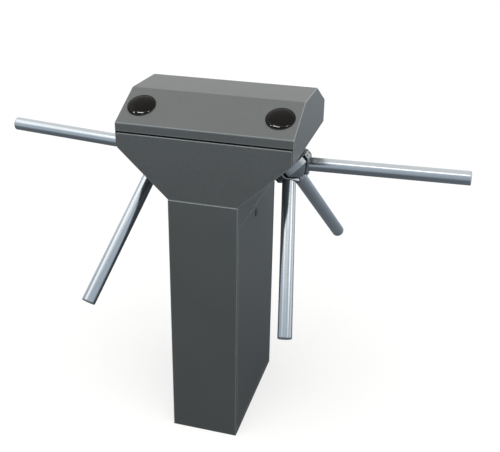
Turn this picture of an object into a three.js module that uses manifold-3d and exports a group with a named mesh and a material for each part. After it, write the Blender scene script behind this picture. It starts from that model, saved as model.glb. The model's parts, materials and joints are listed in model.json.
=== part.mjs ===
import * as THREE from "three";
import { mergeVertices } from "three/addons/utils/BufferGeometryUtils.js";
import Module from "manifold-3d";

const wasm = await Module();
wasm.setup();

// Double tripod turnstile: one cabinet between two lanes, with a three-armed barrier on each side.
// Millimetres, +Z up, the origin on the floor in the middle of the column's foot,
// +X to the right-hand lane and -Y to the people who see the two round readers.

// Outline of the cabinet: column, flare, straight side of the head, lid's front face and lid's slope
const columnWidth = 195;
const columnHeight = 736;
const headWidth = 478;
const headDepth = 398;
const flareRise = 133.5;
const sideRise = 38.5;
const fasciaRise = 27.5;
const slopeRise = 64.5;
const lidFlatDepth = 153;
const columnStep = 1;
const columnLip = 24;
const caseLip = 14;
const sheet = 2;

// Clearances, and how far a cut runs past what it cuts
const seatGap = 0.3;
const seamGap = 2.5;
const panelGap = 2;
const cheekGap = 0.5;
const overrun = 4;
const weldDistance = 0.0001;

// Sides of round pieces
const smoothSides = 36;
const roundSides = 24;
const innerSides = 18;
const smallSides = 12;
const domeSteps = 4;

// The barrier: where its axle leaves the head, and its three arms
const hubAlongFlare = 111.5;
const armReach = 484;
const armDiameter = 38;
const armWall = 1.8;
const armCount = 3;
const restTurn = 3.4;
const armSpread = 49;
const armApexDepth = 10.5;

// The hub casting, measured outward along its axle from the head's slanted skin
const hub = {
  back: 4.5,
  backRadius: 55,
  discTop: 16,
  rimRadius: 61.5,
  rimTop: 33,
  nose: 68,
  bossRadius: 24,
  slotWidth: 60,
  capRadius: 19,
  capDepth: 4,
  capCrown: 2,
};

// The arm's root block, its seat on the hub and the spigot that the tube slides on
const root = {
  width: 40,
  outer: 59.5,
  shoulder: 58,
  spigotLength: 36,
};
const armCap = { flange: 3, plug: 14 };

// The axle, its bearings and the casting that carries them
const axle = { radius: 12.5, collarRadius: 15.5, inner: -121, outer: 60 };
const bearing = { outerRadius: 26, width: 15, lipRadius: 21 };
const carrier = {
  flangeRadius: 50,
  flange: 8,
  barrelRadius: 33,
  plateBack: -83,
  plate: 8,
  plateRadius: 44,
  motorPadRadius: 33,
  ribReach: 34,
  ribWidth: 6,
  ribCount: 4,
};

// Spur gears between the axle and the geared motor
const gear = {
  module: 2.5,
  wheelTeeth: 39,
  pinionTeeth: 13,
  addendumShare: 0.8,
  dedendumShare: 1.15,
  pressureAngle: 20,
  backlash: 0.4,
  width: 12,
};

// Holding brake round the axle, and the geared motor
const brake = { outerRadius: 40, coil: 15, airGap: 0.6, plate: 4 };
const motor = {
  radius: 28,
  length: 52,
  frontRadius: 14,
  frontDepth: 3,
  shaftRadius: 5,
  shaftEngagement: 12,
  coverRadius: 24,
  cover: 10,
  plugWidth: 16,
  plugReach: 4,
};

// Round readers in the lid's front slope
const reader = {
  offset: 188,
  upSlope: 71,
  bezelRadius: 39,
  bezelRise: 2.2,
  bezelWall: 1.5,
  windowCrown: 9,
  windowEdge: 4,
  moduleRadius: 31,
  moduleDepth: 20,
  ledge: 2,
};

// Rear hinge of the lid
const hinge = { length: 300, leaf: 1.5, leafHeight: 20, knuckleRadius: 3.2, pinRadius: 1.5, knuckles: 5 };

// Service door in the column's right side, its frame, and its lock
const door = {
  foot: 14,
  headDrop: 59,
  margin: 12,
  depth: 16,
  flange: 18,
  ribDepth: 11,
  ribOffset: 62,
  hookWidth: 36,
  hookOffset: 120,
  hookDrop: 5,
};
const lock = {
  drop: 30,
  y: -15,
  rimRadius: 11.5,
  rim: 2,
  bodyRadius: 9.5,
  plugRadius: 6.5,
  keySlotWidth: 1.6,
  keySlotLength: 8,
  nutRadius: 13,
  nut: 4,
  camReach: 24,
  camWidth: 13,
  cam: 2.5,
  camGap: 1,
};

// Pieces inside the column
const basePlate = {
  thickness: 8,
  holeRadius: 7,
  holeInsetX: 28,
  holeInsetY: 38,
  cableWidth: 90,
  cableDepth: 150,
};
const supply = {
  width: 150,
  height: 98,
  depth: 42,
  foot: 262,
  lug: 12,
  slots: 9,
  slotWidth: 4,
  slotDepth: 3,
  slotShare: 0.6,
};
const board = {
  width: 190,
  height: 130,
  thickness: 1.6,
  foot: 420,
  standoffRadius: 4,
  standoff: 10,
  standoffInset: 12,
  relayWidth: 18,
  relayHeight: 16,
  relayDepth: 15,
  relays: 4,
  chip: 22,
  chipDepth: 3,
  terminalHeight: 10,
  terminalDepth: 12,
};

const degrees = Math.PI / 180;

// Finishes
const satinPaint = { color: 0x505457, roughness: 0.5, metalness: 0.35 };
const polishedSteel = { color: 0xc9cdd1, roughness: 0.16, metalness: 1 };
const castAlloy = { color: 0x8d9194, roughness: 0.42, metalness: 1 };
const machinedSteel = { color: 0x9a9ea2, roughness: 0.35, metalness: 1 };
const galvanised = { color: 0x9fa5a8, roughness: 0.55, metalness: 0.8 };
const blackPlastic = { color: 0x17181a, roughness: 0.45, metalness: 0 };
const blackGloss = { color: 0x08090a, roughness: 0.06, metalness: 0 };
const brassTone = { color: 0xb08d57, roughness: 0.3, metalness: 1 };
const boardGreen = { color: 0x1f5a35, roughness: 0.55, metalness: 0 };

// Solids: every builder below returns a closed geometry
function toSolid(geometry) {
  const bare = geometry.clone();
  bare.deleteAttribute("normal");
  bare.deleteAttribute("uv");
  const merged = mergeVertices(bare, weldDistance);
  const index = merged.index.array;
  const kept = [];
  for (let i = 0; i < index.length; i += 3) {
    const [a, b, c] = index.slice(i, i + 3);
    if (a !== b && b !== c && c !== a) kept.push(a, b, c);
  }
  return new wasm.Manifold(new wasm.Mesh({
    numProp: 3,
    vertProperties: merged.attributes.position.array,
    triVerts: new Uint32Array(kept),
  }));
}

function toGeometry(solid) {
  const mesh = solid.getMesh();
  const geometry = new THREE.BufferGeometry();
  geometry.setAttribute("position", new THREE.BufferAttribute(mesh.vertProperties, 3));
  geometry.setIndex(new THREE.BufferAttribute(mesh.triVerts, 1));
  geometry.computeVertexNormals();
  return geometry;
}

function combine(base, others, operation) {
  let solid = toSolid(base);
  for (const other of others) solid = solid[operation](toSolid(other));
  return toGeometry(solid);
}

const cut = (base, ...tools) => combine(base, tools, "subtract");
const join = (base, ...others) => combine(base, others, "add");

function box([x0, x1], [y0, y1], [z0, z1]) {
  const geometry = new THREE.BoxGeometry(x1 - x0, y1 - y0, z1 - z0);
  return geometry.translate((x0 + x1) / 2, (y0 + y1) / 2, (z0 + z1) / 2);
}

// A straight prism: the outline is given in the two other axes, in the order X, Y, Z
function prism(outline, axis, from, to) {
  const order = { x: ([y, z]) => [y, z], y: ([x, z]) => [z, x], z: ([x, y]) => [x, y] }[axis];
  const shape = new THREE.Shape(outline.map((point) => new THREE.Vector2(...order(point))));
  const geometry = new THREE.ExtrudeGeometry(shape, { depth: to - from, bevelEnabled: false });
  const x = new THREE.Vector3(1, 0, 0);
  const y = new THREE.Vector3(0, 1, 0);
  const z = new THREE.Vector3(0, 0, 1);
  const bases = { x: [y, z, x], y: [z, x, y], z: [x, y, z] };
  const place = new THREE.Matrix4().makeBasis(...bases[axis]);
  return geometry.translate(0, 0, from).applyMatrix4(place);
}

function volumeOf(geometry) {
  const position = geometry.attributes.position;
  const index = geometry.index.array;
  const corner = (i) => new THREE.Vector3().fromBufferAttribute(position, index[i]);
  let sum = 0;
  for (let i = 0; i < index.length; i += 3) {
    sum += corner(i).dot(corner(i + 1).cross(corner(i + 2)));
  }
  return sum;
}

// A turned piece round the Z axis, from points [radius, height]
function turned(profile, sides) {
  const points = profile.map(([radius, height]) => new THREE.Vector2(radius, height));
  const geometry = new THREE.LatheGeometry(points, sides).rotateX(Math.PI / 2);
  if (volumeOf(geometry) < 0) {
    geometry.index.array.reverse();
  }
  return geometry;
}

const rod = (radius, from, to, sides) => turned([[0, from], [radius, from], [radius, to], [0, to]], sides);

function ring(inner, outer, from, to, sides) {
  return turned([[inner, from], [outer, from], [outer, to], [inner, to], [inner, from]], sides);
}

// Moves every side of a convex outline inward by one distance
function inset(outline, distance) {
  const corners = outline.map(([x, y]) => new THREE.Vector2(x, y));
  const turn = Math.sign(THREE.ShapeUtils.area(corners));
  const inward = corners.map((corner, i) => {
    const side = corners[(i + 1) % corners.length].clone().sub(corner).normalize();
    return new THREE.Vector2(-side.y * turn, side.x * turn);
  });
  return corners.map((corner, i) => {
    const before = inward[(i + corners.length - 1) % corners.length];
    const after = inward[i];
    const reach = distance / (1 + before.dot(after));
    return [corner.x + (before.x + after.x) * reach, corner.y + (before.y + after.y) * reach];
  });
}

function piece(name, geometry, finish) {
  const mesh = new THREE.Mesh(geometry, new THREE.MeshStandardMaterial(finish));
  mesh.name = name;
  return mesh;
}

function group(...children) {
  const result = new THREE.Group();
  result.add(...children);
  return result;
}

// The slanted underside of the head, and the barrier's axle square to it
const endFaceFoot = columnHeight + flareRise;
const seamHeight = endFaceFoot + sideRise;
const lidSlopeFoot = seamHeight + fasciaRise;
const overallHeight = lidSlopeFoot + slopeRise;
const flareRun = (headWidth - columnWidth) / 2;
const flareSlope = Math.atan2(flareRise, flareRun);

function barrierMatrix(side) {
  const footX = columnWidth / 2 + hubAlongFlare * Math.cos(flareSlope);
  const footZ = columnHeight + hubAlongFlare * Math.sin(flareSlope);
  const matrix = new THREE.Matrix4().makeRotationZ(side === "right" ? 0 : Math.PI);
  matrix.multiply(new THREE.Matrix4().makeTranslation(footX, 0, footZ));
  matrix.multiply(new THREE.Matrix4().makeRotationY(-flareSlope));
  return matrix.multiply(new THREE.Matrix4().makeRotationX(Math.PI));
}

// Head case: a folded box that flares out from the column, open to it and to the lid
const axleHoleRadius = bearing.lipRadius;
const caseHalfWidth = headWidth / 2 - sheet - cheekGap;

function headOutline() {
  const kneeHeight = columnHeight + (caseHalfWidth - columnWidth / 2) * Math.tan(flareSlope);
  return [
    [-columnWidth / 2, columnHeight],
    [columnWidth / 2, columnHeight],
    [caseHalfWidth, kneeHeight],
    [caseHalfWidth, seamHeight],
    [-caseHalfWidth, seamHeight],
    [-caseHalfWidth, kneeHeight],
  ];
}

function headCase() {
  const halfDepth = headDepth / 2;
  const outer = prism(headOutline(), "y", -halfDepth, halfDepth);
  const inner = prism(inset(headOutline(), sheet), "y", -halfDepth + sheet, halfDepth - sheet);
  const mouthX = [-caseHalfWidth + caseLip, caseHalfWidth - caseLip];
  const mouthY = [-halfDepth + caseLip, halfDepth - caseLip];
  const mouth = box(mouthX, mouthY, [seamHeight - overrun, seamHeight + overrun]);
  const throat = columnThroat(columnHeight - overrun, columnHeight + overrun);
  const axleHoles = ["right", "left"].map((side) =>
    rod(axleHoleRadius, -overrun, overrun, roundSides).applyMatrix4(barrierMatrix(side)));
  return cut(outer, inner, mouth, throat, ...axleHoles);
}

function columnThroat(from, to) {
  const halfWidth = columnWidth / 2 - columnLip;
  const halfDepth = headDepth / 2 - columnLip;
  return box([-halfWidth, halfWidth], [-halfDepth, halfDepth], [from, to]);
}

// Column: a folded box with an open foot, and a door frame set into its right side
const columnHalfWidth = columnWidth / 2;
const columnHalfDepth = headDepth / 2 + columnStep;
const doorHalfDepth = columnHalfDepth - door.margin;
const doorHead = columnHeight - door.headDrop;
const frameBack = columnHalfWidth - door.depth - seatGap - sheet;

function columnShell() {
  const outer = box([-columnHalfWidth, columnHalfWidth], [-columnHalfDepth, columnHalfDepth],
    [0, columnHeight]);
  const inner = box([-columnHalfWidth + sheet, columnHalfWidth - sheet],
    [-columnHalfDepth + sheet, columnHalfDepth - sheet], [-overrun, columnHeight - sheet]);
  const throat = columnThroat(columnHeight - sheet - overrun, columnHeight + overrun);
  const doorY = [-doorHalfDepth, doorHalfDepth];
  const doorway = box([columnHalfWidth - overrun, columnHalfWidth + overrun], doorY, [door.foot, doorHead]);
  const shell = cut(outer, inner, throat, doorway);

  // The frame is a tray with a border for the door to shut against
  const frameY = [-doorHalfDepth - sheet, doorHalfDepth + sheet];
  const frame = box([frameBack, columnHalfWidth - sheet / 2], frameY, [door.foot - sheet, doorHead + sheet]);
  const tray = box([frameBack + sheet, columnHalfWidth + overrun], doorY, [door.foot, doorHead]);
  const passY = [-doorHalfDepth + door.flange, doorHalfDepth - door.flange];
  const passZ = [door.foot + door.flange, doorHead - door.flange];
  const pass = box([frameBack - overrun, frameBack + sheet + overrun], passY, passZ);
  return cut(join(shell, cut(frame, tray, pass)), ...hookSlots());
}

// Slots in the frame's sill, each as wide as a hook and its play
const hookX = columnHalfWidth - door.depth + sheet * 2;

function hookSlots() {
  return [-1, 1].map((end) => {
    const middle = end * door.hookOffset;
    const half = door.hookWidth / 2 + panelGap;
    return box([hookX - panelGap, hookX + sheet + panelGap], [middle - half, middle + half],
      [door.foot - sheet - overrun, door.foot + overrun]);
  });
}

// Service door: a shallow pan with two ribs, two hooks in the sill and a lock near its top
function serviceDoor() {
  const faceY = doorHalfDepth - panelGap;
  const bottom = door.foot + seatGap;
  const top = doorHead - panelGap;
  const back = columnHalfWidth - door.depth;
  const pan = box([back, columnHalfWidth], [-faceY, faceY], [bottom, top]);
  const hollow = box([back - overrun, columnHalfWidth - sheet], [-faceY + sheet, faceY - sheet],
    [bottom + sheet, top - sheet]);
  const ribs = [-1, 1].map((end) => {
    const y = end * door.ribOffset;
    return box([columnHalfWidth - sheet - door.ribDepth, columnHalfWidth - sheet / 2],
      [y - sheet / 2, y + sheet / 2], [bottom + sheet / 2, top - sheet / 2]);
  });
  const hooks = [-1, 1].map((end) => {
    const y = end * door.hookOffset;
    return box([hookX, hookX + sheet], [y - door.hookWidth / 2, y + door.hookWidth / 2],
      [door.foot - door.hookDrop, bottom + sheet / 2]);
  });
  const lockHole = rod(lock.bodyRadius + seatGap, -lock.rim - overrun, sheet + overrun, roundSides);
  return cut(join(cut(pan, hollow), ...ribs, ...hooks), lockHole.applyMatrix4(lockMatrix()));
}

// Lock: its axis runs inward from the door's face
const lockLength = columnHalfWidth - frameBack + lock.camGap;

function lockMatrix() {
  const matrix = new THREE.Matrix4().makeTranslation(columnHalfWidth, lock.y, doorHead - lock.drop);
  return matrix.multiply(new THREE.Matrix4().makeRotationY(-Math.PI / 2));
}

function lockGroup() {
  const bore = lock.plugRadius + seatGap;
  const body = turned([
    [bore, -lock.rim],
    [lock.rimRadius, -lock.rim],
    [lock.rimRadius, -seatGap],
    [lock.bodyRadius, -seatGap],
    [lock.bodyRadius, sheet + seatGap],
    [lock.nutRadius, sheet + seatGap],
    [lock.nutRadius, sheet + seatGap + lock.nut],
    [lock.bodyRadius, sheet + seatGap + lock.nut],
    [lock.bodyRadius, lockLength - lock.camGap],
    [bore, lockLength - lock.camGap],
    [bore, -lock.rim],
  ], roundSides);
  const keySlot = box([-lock.keySlotLength / 2, lock.keySlotLength / 2],
    [-lock.keySlotWidth / 2, lock.keySlotWidth / 2], [-lock.rim - overrun, lock.rim]);
  const plug = cut(rod(lock.plugRadius, -lock.rim, lockLength - seatGap, smallSides), keySlot);
  const camEnd = rod(lock.camWidth / 2, lockLength, lockLength + lock.cam, smallSides);
  const camBar = box([-lock.camWidth / 2, lock.camWidth / 2], [-lock.camReach, 0],
    [lockLength, lockLength + lock.cam]);
  const parts = group(
    piece("door_lock_body", body, polishedSteel),
    piece("door_lock_plug", plug, brassTone),
    piece("door_lock_cam", join(camEnd, camBar), machinedSteel),
  );
  parts.applyMatrix4(lockMatrix());
  return parts;
}

// Lid: slopes to the front and back, and end cheeks that reach down over the head case
const lidFoot = seamHeight + seamGap;
const lidSlope = Math.atan2(slopeRise, (headDepth - lidFlatDepth) / 2);

function lidOutline(bottom) {
  const halfDepth = headDepth / 2;
  return [
    [-halfDepth, bottom],
    [halfDepth, bottom],
    [halfDepth, lidSlopeFoot],
    [lidFlatDepth / 2, overallHeight],
    [-lidFlatDepth / 2, overallHeight],
    [-halfDepth, lidSlopeFoot],
  ];
}

function lid() {
  const halfWidth = headWidth / 2;
  const halfDepth = headDepth / 2;
  const outer = prism(lidOutline(endFaceFoot), "x", -halfWidth, halfWidth);
  const hollow = inset(lidOutline(endFaceFoot - overrun - sheet), sheet);
  const inner = prism(hollow, "x", -halfWidth + sheet, halfWidth - sheet);
  const below = box([-halfWidth + sheet, halfWidth - sheet], [-halfDepth - overrun, halfDepth + overrun],
    [endFaceFoot - overrun, lidFoot]);
  const holes = [-1, 1].map((side) => {
    const hole = rod(reader.bezelRadius - reader.ledge, -sheet - overrun, overrun, roundSides);
    return hole.applyMatrix4(readerMatrix(side));
  });
  return cut(outer, inner, below, ...holes);
}

// Reader: a rim on the slope, a domed window in it and the sensing unit under the window
function readerMatrix(side) {
  const y = -headDepth / 2 + reader.upSlope * Math.cos(lidSlope);
  const z = lidSlopeFoot + reader.upSlope * Math.sin(lidSlope);
  const matrix = new THREE.Matrix4().makeTranslation(side * reader.offset, y, z);
  return matrix.multiply(new THREE.Matrix4().makeRotationX(lidSlope));
}

function readerGroup(side, name) {
  const collar = reader.bezelRadius - reader.ledge - seatGap;
  const bore = reader.bezelRadius - reader.bezelWall - reader.ledge;
  const under = -sheet - reader.windowEdge;
  const bezel = turned([
    [bore, under],
    [collar, under],
    [collar, seatGap],
    [reader.bezelRadius, seatGap],
    [reader.bezelRadius - reader.ledge / 2, reader.bezelRise],
    [bore, reader.bezelRise],
    [bore, under],
  ], smoothSides);
  const windowRadius = bore - seatGap;
  const dome = [];
  for (let i = 0; i <= domeSteps; i += 1) {
    const angle = (i / domeSteps) * Math.PI / 2;
    dome.push([windowRadius * Math.cos(angle), reader.windowCrown * Math.sin(angle)]);
  }
  const pane = turned([[0, under], [windowRadius, under], ...dome.slice(0, -1), [0, reader.windowCrown]],
    smoothSides);
  const unitTop = under - seatGap;
  const unit = turned([
    [0, unitTop - reader.moduleDepth],
    [reader.moduleRadius, unitTop - reader.moduleDepth],
    [reader.moduleRadius, unitTop - reader.ledge],
    [collar, unitTop - reader.ledge],
    [collar, unitTop],
    [0, unitTop],
  ], roundSides);
  const parts = group(
    piece(`${name}_reader_bezel`, bezel, machinedSteel),
    piece(`${name}_reader_window`, pane, blackGloss),
    piece(`${name}_reader_unit`, unit, blackPlastic),
  );
  parts.applyMatrix4(readerMatrix(side));
  return parts;
}

// Rear hinge: knuckles in turn from the case's leaf and the lid's leaf on one pin
function hingeGroup() {
  const faceY = headDepth / 2 + seatGap;
  const axisY = faceY + hinge.knuckleRadius;
  const axisZ = seamHeight + seamGap / 2;
  const pitch = hinge.length / hinge.knuckles;
  const clear = hinge.knuckleRadius + seatGap;
  const alongX = (geometry) => geometry.rotateY(Math.PI / 2).translate(0, axisY, axisZ);
  const leaf = (up, first) => {
    const ends = [axisZ + up * clear, axisZ + up * hinge.leafHeight].sort((a, b) => a - b);
    const plate = box([-hinge.length / 2, hinge.length / 2], [faceY, faceY + hinge.leaf], ends);
    const knuckles = [];
    for (let i = first; i < hinge.knuckles; i += 2) {
      const start = -hinge.length / 2 + i * pitch + seatGap;
      const end = start + pitch - 2 * seatGap;
      const tab = [axisZ, axisZ + up * (clear + hinge.leaf)].sort((a, b) => a - b);
      knuckles.push(box([start, end], [faceY, faceY + hinge.leaf], tab));
      knuckles.push(alongX(rod(hinge.knuckleRadius, start, end, smallSides)));
    }
    const bore = alongX(rod(hinge.pinRadius + seatGap, -hinge.length, hinge.length, smallSides));
    return cut(join(plate, ...knuckles), bore);
  };
  const pin = alongX(rod(hinge.pinRadius, -hinge.length / 2, hinge.length / 2, smallSides));
  return group(
    piece("hinge_case_leaf", leaf(-1, 0), machinedSteel),
    piece("hinge_lid_leaf", leaf(1, 1), machinedSteel),
    piece("hinge_pin", pin, polishedSteel),
  );
}

// Foot: a thick plate inside the column, with anchor holes and a way in for the cables
function footPlate() {
  const halfX = columnHalfWidth - sheet - seatGap;
  const halfY = columnHalfDepth - sheet - seatGap;
  const plate = box([-halfX, halfX], [-halfY, halfY], [0, basePlate.thickness]);
  const way = box([-basePlate.cableWidth / 2, basePlate.cableWidth / 2],
    [-basePlate.cableDepth / 2, basePlate.cableDepth / 2], [-overrun, basePlate.thickness + overrun]);
  const holes = [];
  for (const x of [-1, 1]) {
    for (const y of [-1, 1]) {
      const hole = rod(basePlate.holeRadius, -overrun, basePlate.thickness + overrun, smallSides);
      holes.push(hole.translate(x * (halfX - basePlate.holeInsetX), y * (halfY - basePlate.holeInsetY), 0));
    }
  }
  return cut(plate, way, ...holes);
}

// Power supply: a slotted metal box with lugs, on the column's left wall
function powerSupply() {
  const wall = -columnHalfWidth + sheet + seatGap;
  const y = [-supply.width / 2, supply.width / 2];
  const z = [supply.foot, supply.foot + supply.height];
  const body = box([wall, wall + supply.depth], y, z);
  const lugs = box([wall, wall + sheet], [y[0] - supply.lug, y[1] + supply.lug], z);
  const pitch = supply.width / (supply.slots + 1);
  const slots = [];
  for (let i = 1; i <= supply.slots; i += 1) {
    const middle = y[0] + i * pitch;
    const half = supply.height * supply.slotShare / 2;
    const centre = supply.foot + supply.height / 2;
    slots.push(box([wall + supply.depth - supply.slotDepth, wall + supply.depth + overrun],
      [middle - supply.slotWidth / 2, middle + supply.slotWidth / 2], [centre - half, centre + half]));
  }
  return cut(join(body, lugs), ...slots);
}

// Control board: a printed board on four standoffs, with relays, a processor and a terminal row
function controlBoard() {
  const wall = -columnHalfWidth + sheet + seatGap;
  const back = wall + board.standoff;
  const face = back + board.thickness;
  const y = [-board.width / 2, board.width / 2];
  const z = [board.foot, board.foot + board.height];
  const details = [];
  for (const cornerY of [y[0] + board.standoffInset, y[1] - board.standoffInset]) {
    for (const cornerZ of [z[0] + board.standoffInset, z[1] - board.standoffInset]) {
      const post = rod(board.standoffRadius, wall, back + board.thickness / 2, smallSides);
      details.push(post.rotateY(Math.PI / 2).translate(0, cornerY, cornerZ));
    }
  }
  const seat = back + board.thickness / 2;
  for (let i = 0; i < board.relays; i += 1) {
    const start = y[0] + board.standoffInset * 2 + i * board.relayWidth * 3 / 2;
    const top = z[1] - board.standoffInset * 2;
    details.push(box([seat, face + board.relayDepth], [start, start + board.relayWidth],
      [top - board.relayHeight, top]));
  }
  const centre = (z[0] + z[1]) / 2;
  details.push(box([seat, face + board.chipDepth], [-board.chip / 2, board.chip / 2],
    [centre - board.chip / 2, centre + board.chip / 2]));
  details.push(box([seat, face + board.terminalDepth],
    [y[0] + board.standoffInset * 2, y[1] - board.standoffInset * 2],
    [z[0] + board.terminalHeight / 2, z[0] + board.terminalHeight * 3 / 2]));
  return join(box([back, face], y, z), ...details);
}

// Hub: a turned cone with a stout rim, and three slots that the arms' root blocks stand in
const coneAngle = armSpread * degrees;
const armAxis = { x: Math.sin(coneAngle), z: Math.cos(coneAngle) };

function hubCasting() {
  const noseRadius = hub.rimRadius - (hub.nose - hub.rimTop);
  const pocket = hub.nose - hub.capDepth;
  const profile = [
    [axle.radius + seatGap, hub.back],
    [hub.backRadius, hub.back],
    [hub.rimRadius, hub.discTop],
    [hub.rimRadius, hub.rimTop],
    [noseRadius, hub.nose],
    [hub.capRadius, hub.nose],
    [hub.capRadius, pocket],
    [axle.radius + seatGap, pocket],
    [axle.radius + seatGap, hub.back],
  ];
  const slots = [];
  for (let i = 0; i < armCount; i += 1) {
    const slot = box([0, hub.rimRadius + overrun], [-hub.slotWidth / 2, hub.slotWidth / 2],
      [hub.discTop, hub.nose + overrun]);
    slots.push(slot.rotateZ(i * 2 * Math.PI / armCount));
  }
  const boss = ring(axle.radius + seatGap, hub.bossRadius, hub.discTop - overrun, pocket, smoothSides);
  const nose = ring(hub.capRadius, hub.bossRadius, pocket - overrun, hub.nose, smoothSides);
  return join(cut(turned(profile, smoothSides), ...slots), boss, nose);
}

function hubCap() {
  const seat = hub.nose - hub.capDepth + seatGap;
  const radius = hub.capRadius - seatGap;
  return turned([
    [0, seat],
    [radius, seat],
    [radius, hub.nose],
    [radius - hub.capCrown, hub.nose + hub.capCrown],
    [0, hub.nose + hub.capCrown],
  ], roundSides);
}

// Root block: stands on the hub's disc and turns its face square to the arm
function rootOutline() {
  const onAxis = (along, up) =>
    [along * armAxis.x + up * armAxis.z, armApexDepth + along * armAxis.z - up * armAxis.x];
  const seat = hub.discTop + seatGap;
  const inner = hub.bossRadius + seatGap;
  const low = onAxis(root.shoulder, -root.width / 2);
  const faceSlope = armAxis.x / armAxis.z;
  const topHeight = low[1] - (root.outer - low[0]) * faceSlope;
  return [
    [inner, seat],
    [root.outer, seat],
    [root.outer, topHeight],
    low,
    [inner, low[1]],
  ];
}

function armRoot() {
  const block = prism(rootOutline(), "y", -root.width / 2, root.width / 2);
  const spigotRadius = armDiameter / 2 - armWall - seatGap;
  const spigot = rod(spigotRadius, root.shoulder - overrun, root.shoulder + root.spigotLength, innerSides);
  return join(block, spigot.rotateY(coneAngle).translate(0, 0, armApexDepth));
}

function armGroup(name, index) {
  const outer = armDiameter / 2;
  const tubeEnd = armReach - armCap.flange - seatGap;
  const tube = ring(outer - armWall, outer, root.shoulder + seatGap, tubeEnd, roundSides);
  const plug = rod(outer - armWall - seatGap, tubeEnd - armCap.plug, armReach - overrun / 2, smallSides);
  const cap = join(rod(outer, tubeEnd + seatGap, armReach, roundSides), plug);
  const along = group(
    piece(`${name}_arm_tube`, tube, polishedSteel),
    piece(`${name}_arm_end_cap`, cap, polishedSteel),
  );
  along.rotation.y = coneAngle;
  along.position.z = armApexDepth;
  const arm = group(piece(`${name}_arm_root`, armRoot(), castAlloy), along);
  arm.rotation.z = index * 2 * Math.PI / armCount;
  return arm;
}

// Bearing carrier: a flanged barrel on the slanted skin, ending in a plate for brake and motor
const skinInside = -sheet - seatGap;
const wheelPitchRadius = gear.module * gear.wheelTeeth / 2;
const pinionPitchRadius = gear.module * gear.pinionTeeth / 2;
const motorOffset = wheelPitchRadius + pinionPitchRadius;

// Outline of two round pads and the straight sides that touch both
function padOutline(firstRadius, secondRadius, distance, steps) {
  const lean = Math.asin((firstRadius - secondRadius) / distance);
  const points = [];
  for (let i = 0; i <= steps; i += 1) {
    const angle = lean + (Math.PI - 2 * lean) * (i / steps);
    points.push([secondRadius * Math.cos(angle), distance + secondRadius * Math.sin(angle)]);
  }
  for (let i = 0; i <= steps; i += 1) {
    const angle = Math.PI - lean + (Math.PI + 2 * lean) * (i / steps);
    points.push([firstRadius * Math.cos(angle), firstRadius * Math.sin(angle)]);
  }
  return points;
}

function bearingCarrier() {
  const plateFront = carrier.plateBack + carrier.plate;
  const seatRadius = bearing.outerRadius + seatGap;
  const shaftClear = axle.collarRadius + 2 * seatGap;
  const flange = skinInside - carrier.flange;
  const body = turned([
    [shaftClear, plateFront],
    [carrier.barrelRadius, plateFront],
    [carrier.barrelRadius, flange],
    [carrier.flangeRadius, flange],
    [carrier.flangeRadius, skinInside],
    [shaftClear, skinInside],
    [shaftClear, plateFront],
  ], innerSides);
  const pad = prism(padOutline(carrier.plateRadius, carrier.motorPadRadius, motorOffset, smallSides), "z",
    carrier.plateBack, plateFront);
  const ribs = [];
  for (let i = 0; i < carrier.ribCount; i += 1) {
    const outline = [
      [carrier.barrelRadius - overrun, flange + carrier.flange / 2],
      [carrier.flangeRadius - carrier.ribWidth / 2, flange + carrier.flange / 2],
      [carrier.flangeRadius - carrier.ribWidth / 2, flange - seatGap],
      [carrier.barrelRadius, flange - carrier.ribReach],
      [carrier.barrelRadius - overrun, flange - carrier.ribReach],
    ];
    const rib = prism(outline, "y", -carrier.ribWidth / 2, carrier.ribWidth / 2);
    ribs.push(rib.rotateZ((i + 1 / 2) * 2 * Math.PI / carrier.ribCount));
  }
  const through = rod(shaftClear, carrier.plateBack - overrun, skinInside + overrun, innerSides);
  const outerSeat = rod(seatRadius, skinInside - bearing.width - seatGap, skinInside + overrun, innerSides);
  const innerSeat = rod(seatRadius, carrier.plateBack - overrun,
    carrier.plateBack + bearing.width + seatGap, innerSides);
  const motorHole = rod(motor.frontRadius + seatGap, carrier.plateBack - overrun, plateFront + overrun,
    innerSides).translate(0, motorOffset, 0);
  return cut(join(body, pad, ...ribs), through, outerSeat, innerSeat, motorHole);
}

const bearingRing = (from) =>
  ring(axle.radius + seatGap, bearing.outerRadius, from, from + bearing.width, innerSides);

// Along the axle behind the carrier: brake coil, brake plate and wheel
const coilFrom = carrier.plateBack - seatGap - brake.coil;
const brakePlateFrom = coilFrom - brake.airGap - brake.plate;
const wheelFrom = brakePlateFrom - seatGap - gear.width;

function mainAxle() {
  const shoulderEnd = skinInside - bearing.width - 2 * seatGap;
  const shoulderStart = carrier.plateBack + bearing.width + 2 * seatGap;
  return turned([
    [0, axle.inner],
    [axle.radius, axle.inner],
    [axle.radius, shoulderStart],
    [axle.collarRadius, shoulderStart],
    [axle.collarRadius, shoulderEnd],
    [axle.radius, shoulderEnd],
    [axle.radius, axle.outer],
    [0, axle.outer],
  ], innerSides);
}

const brakeCoil = () =>
  ring(axle.collarRadius, brake.outerRadius, coilFrom, coilFrom + brake.coil, innerSides);

const brakePlate = () =>
  ring(axle.radius + seatGap, brake.outerRadius, brakePlateFrom, brakePlateFrom + brake.plate, innerSides);

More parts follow.
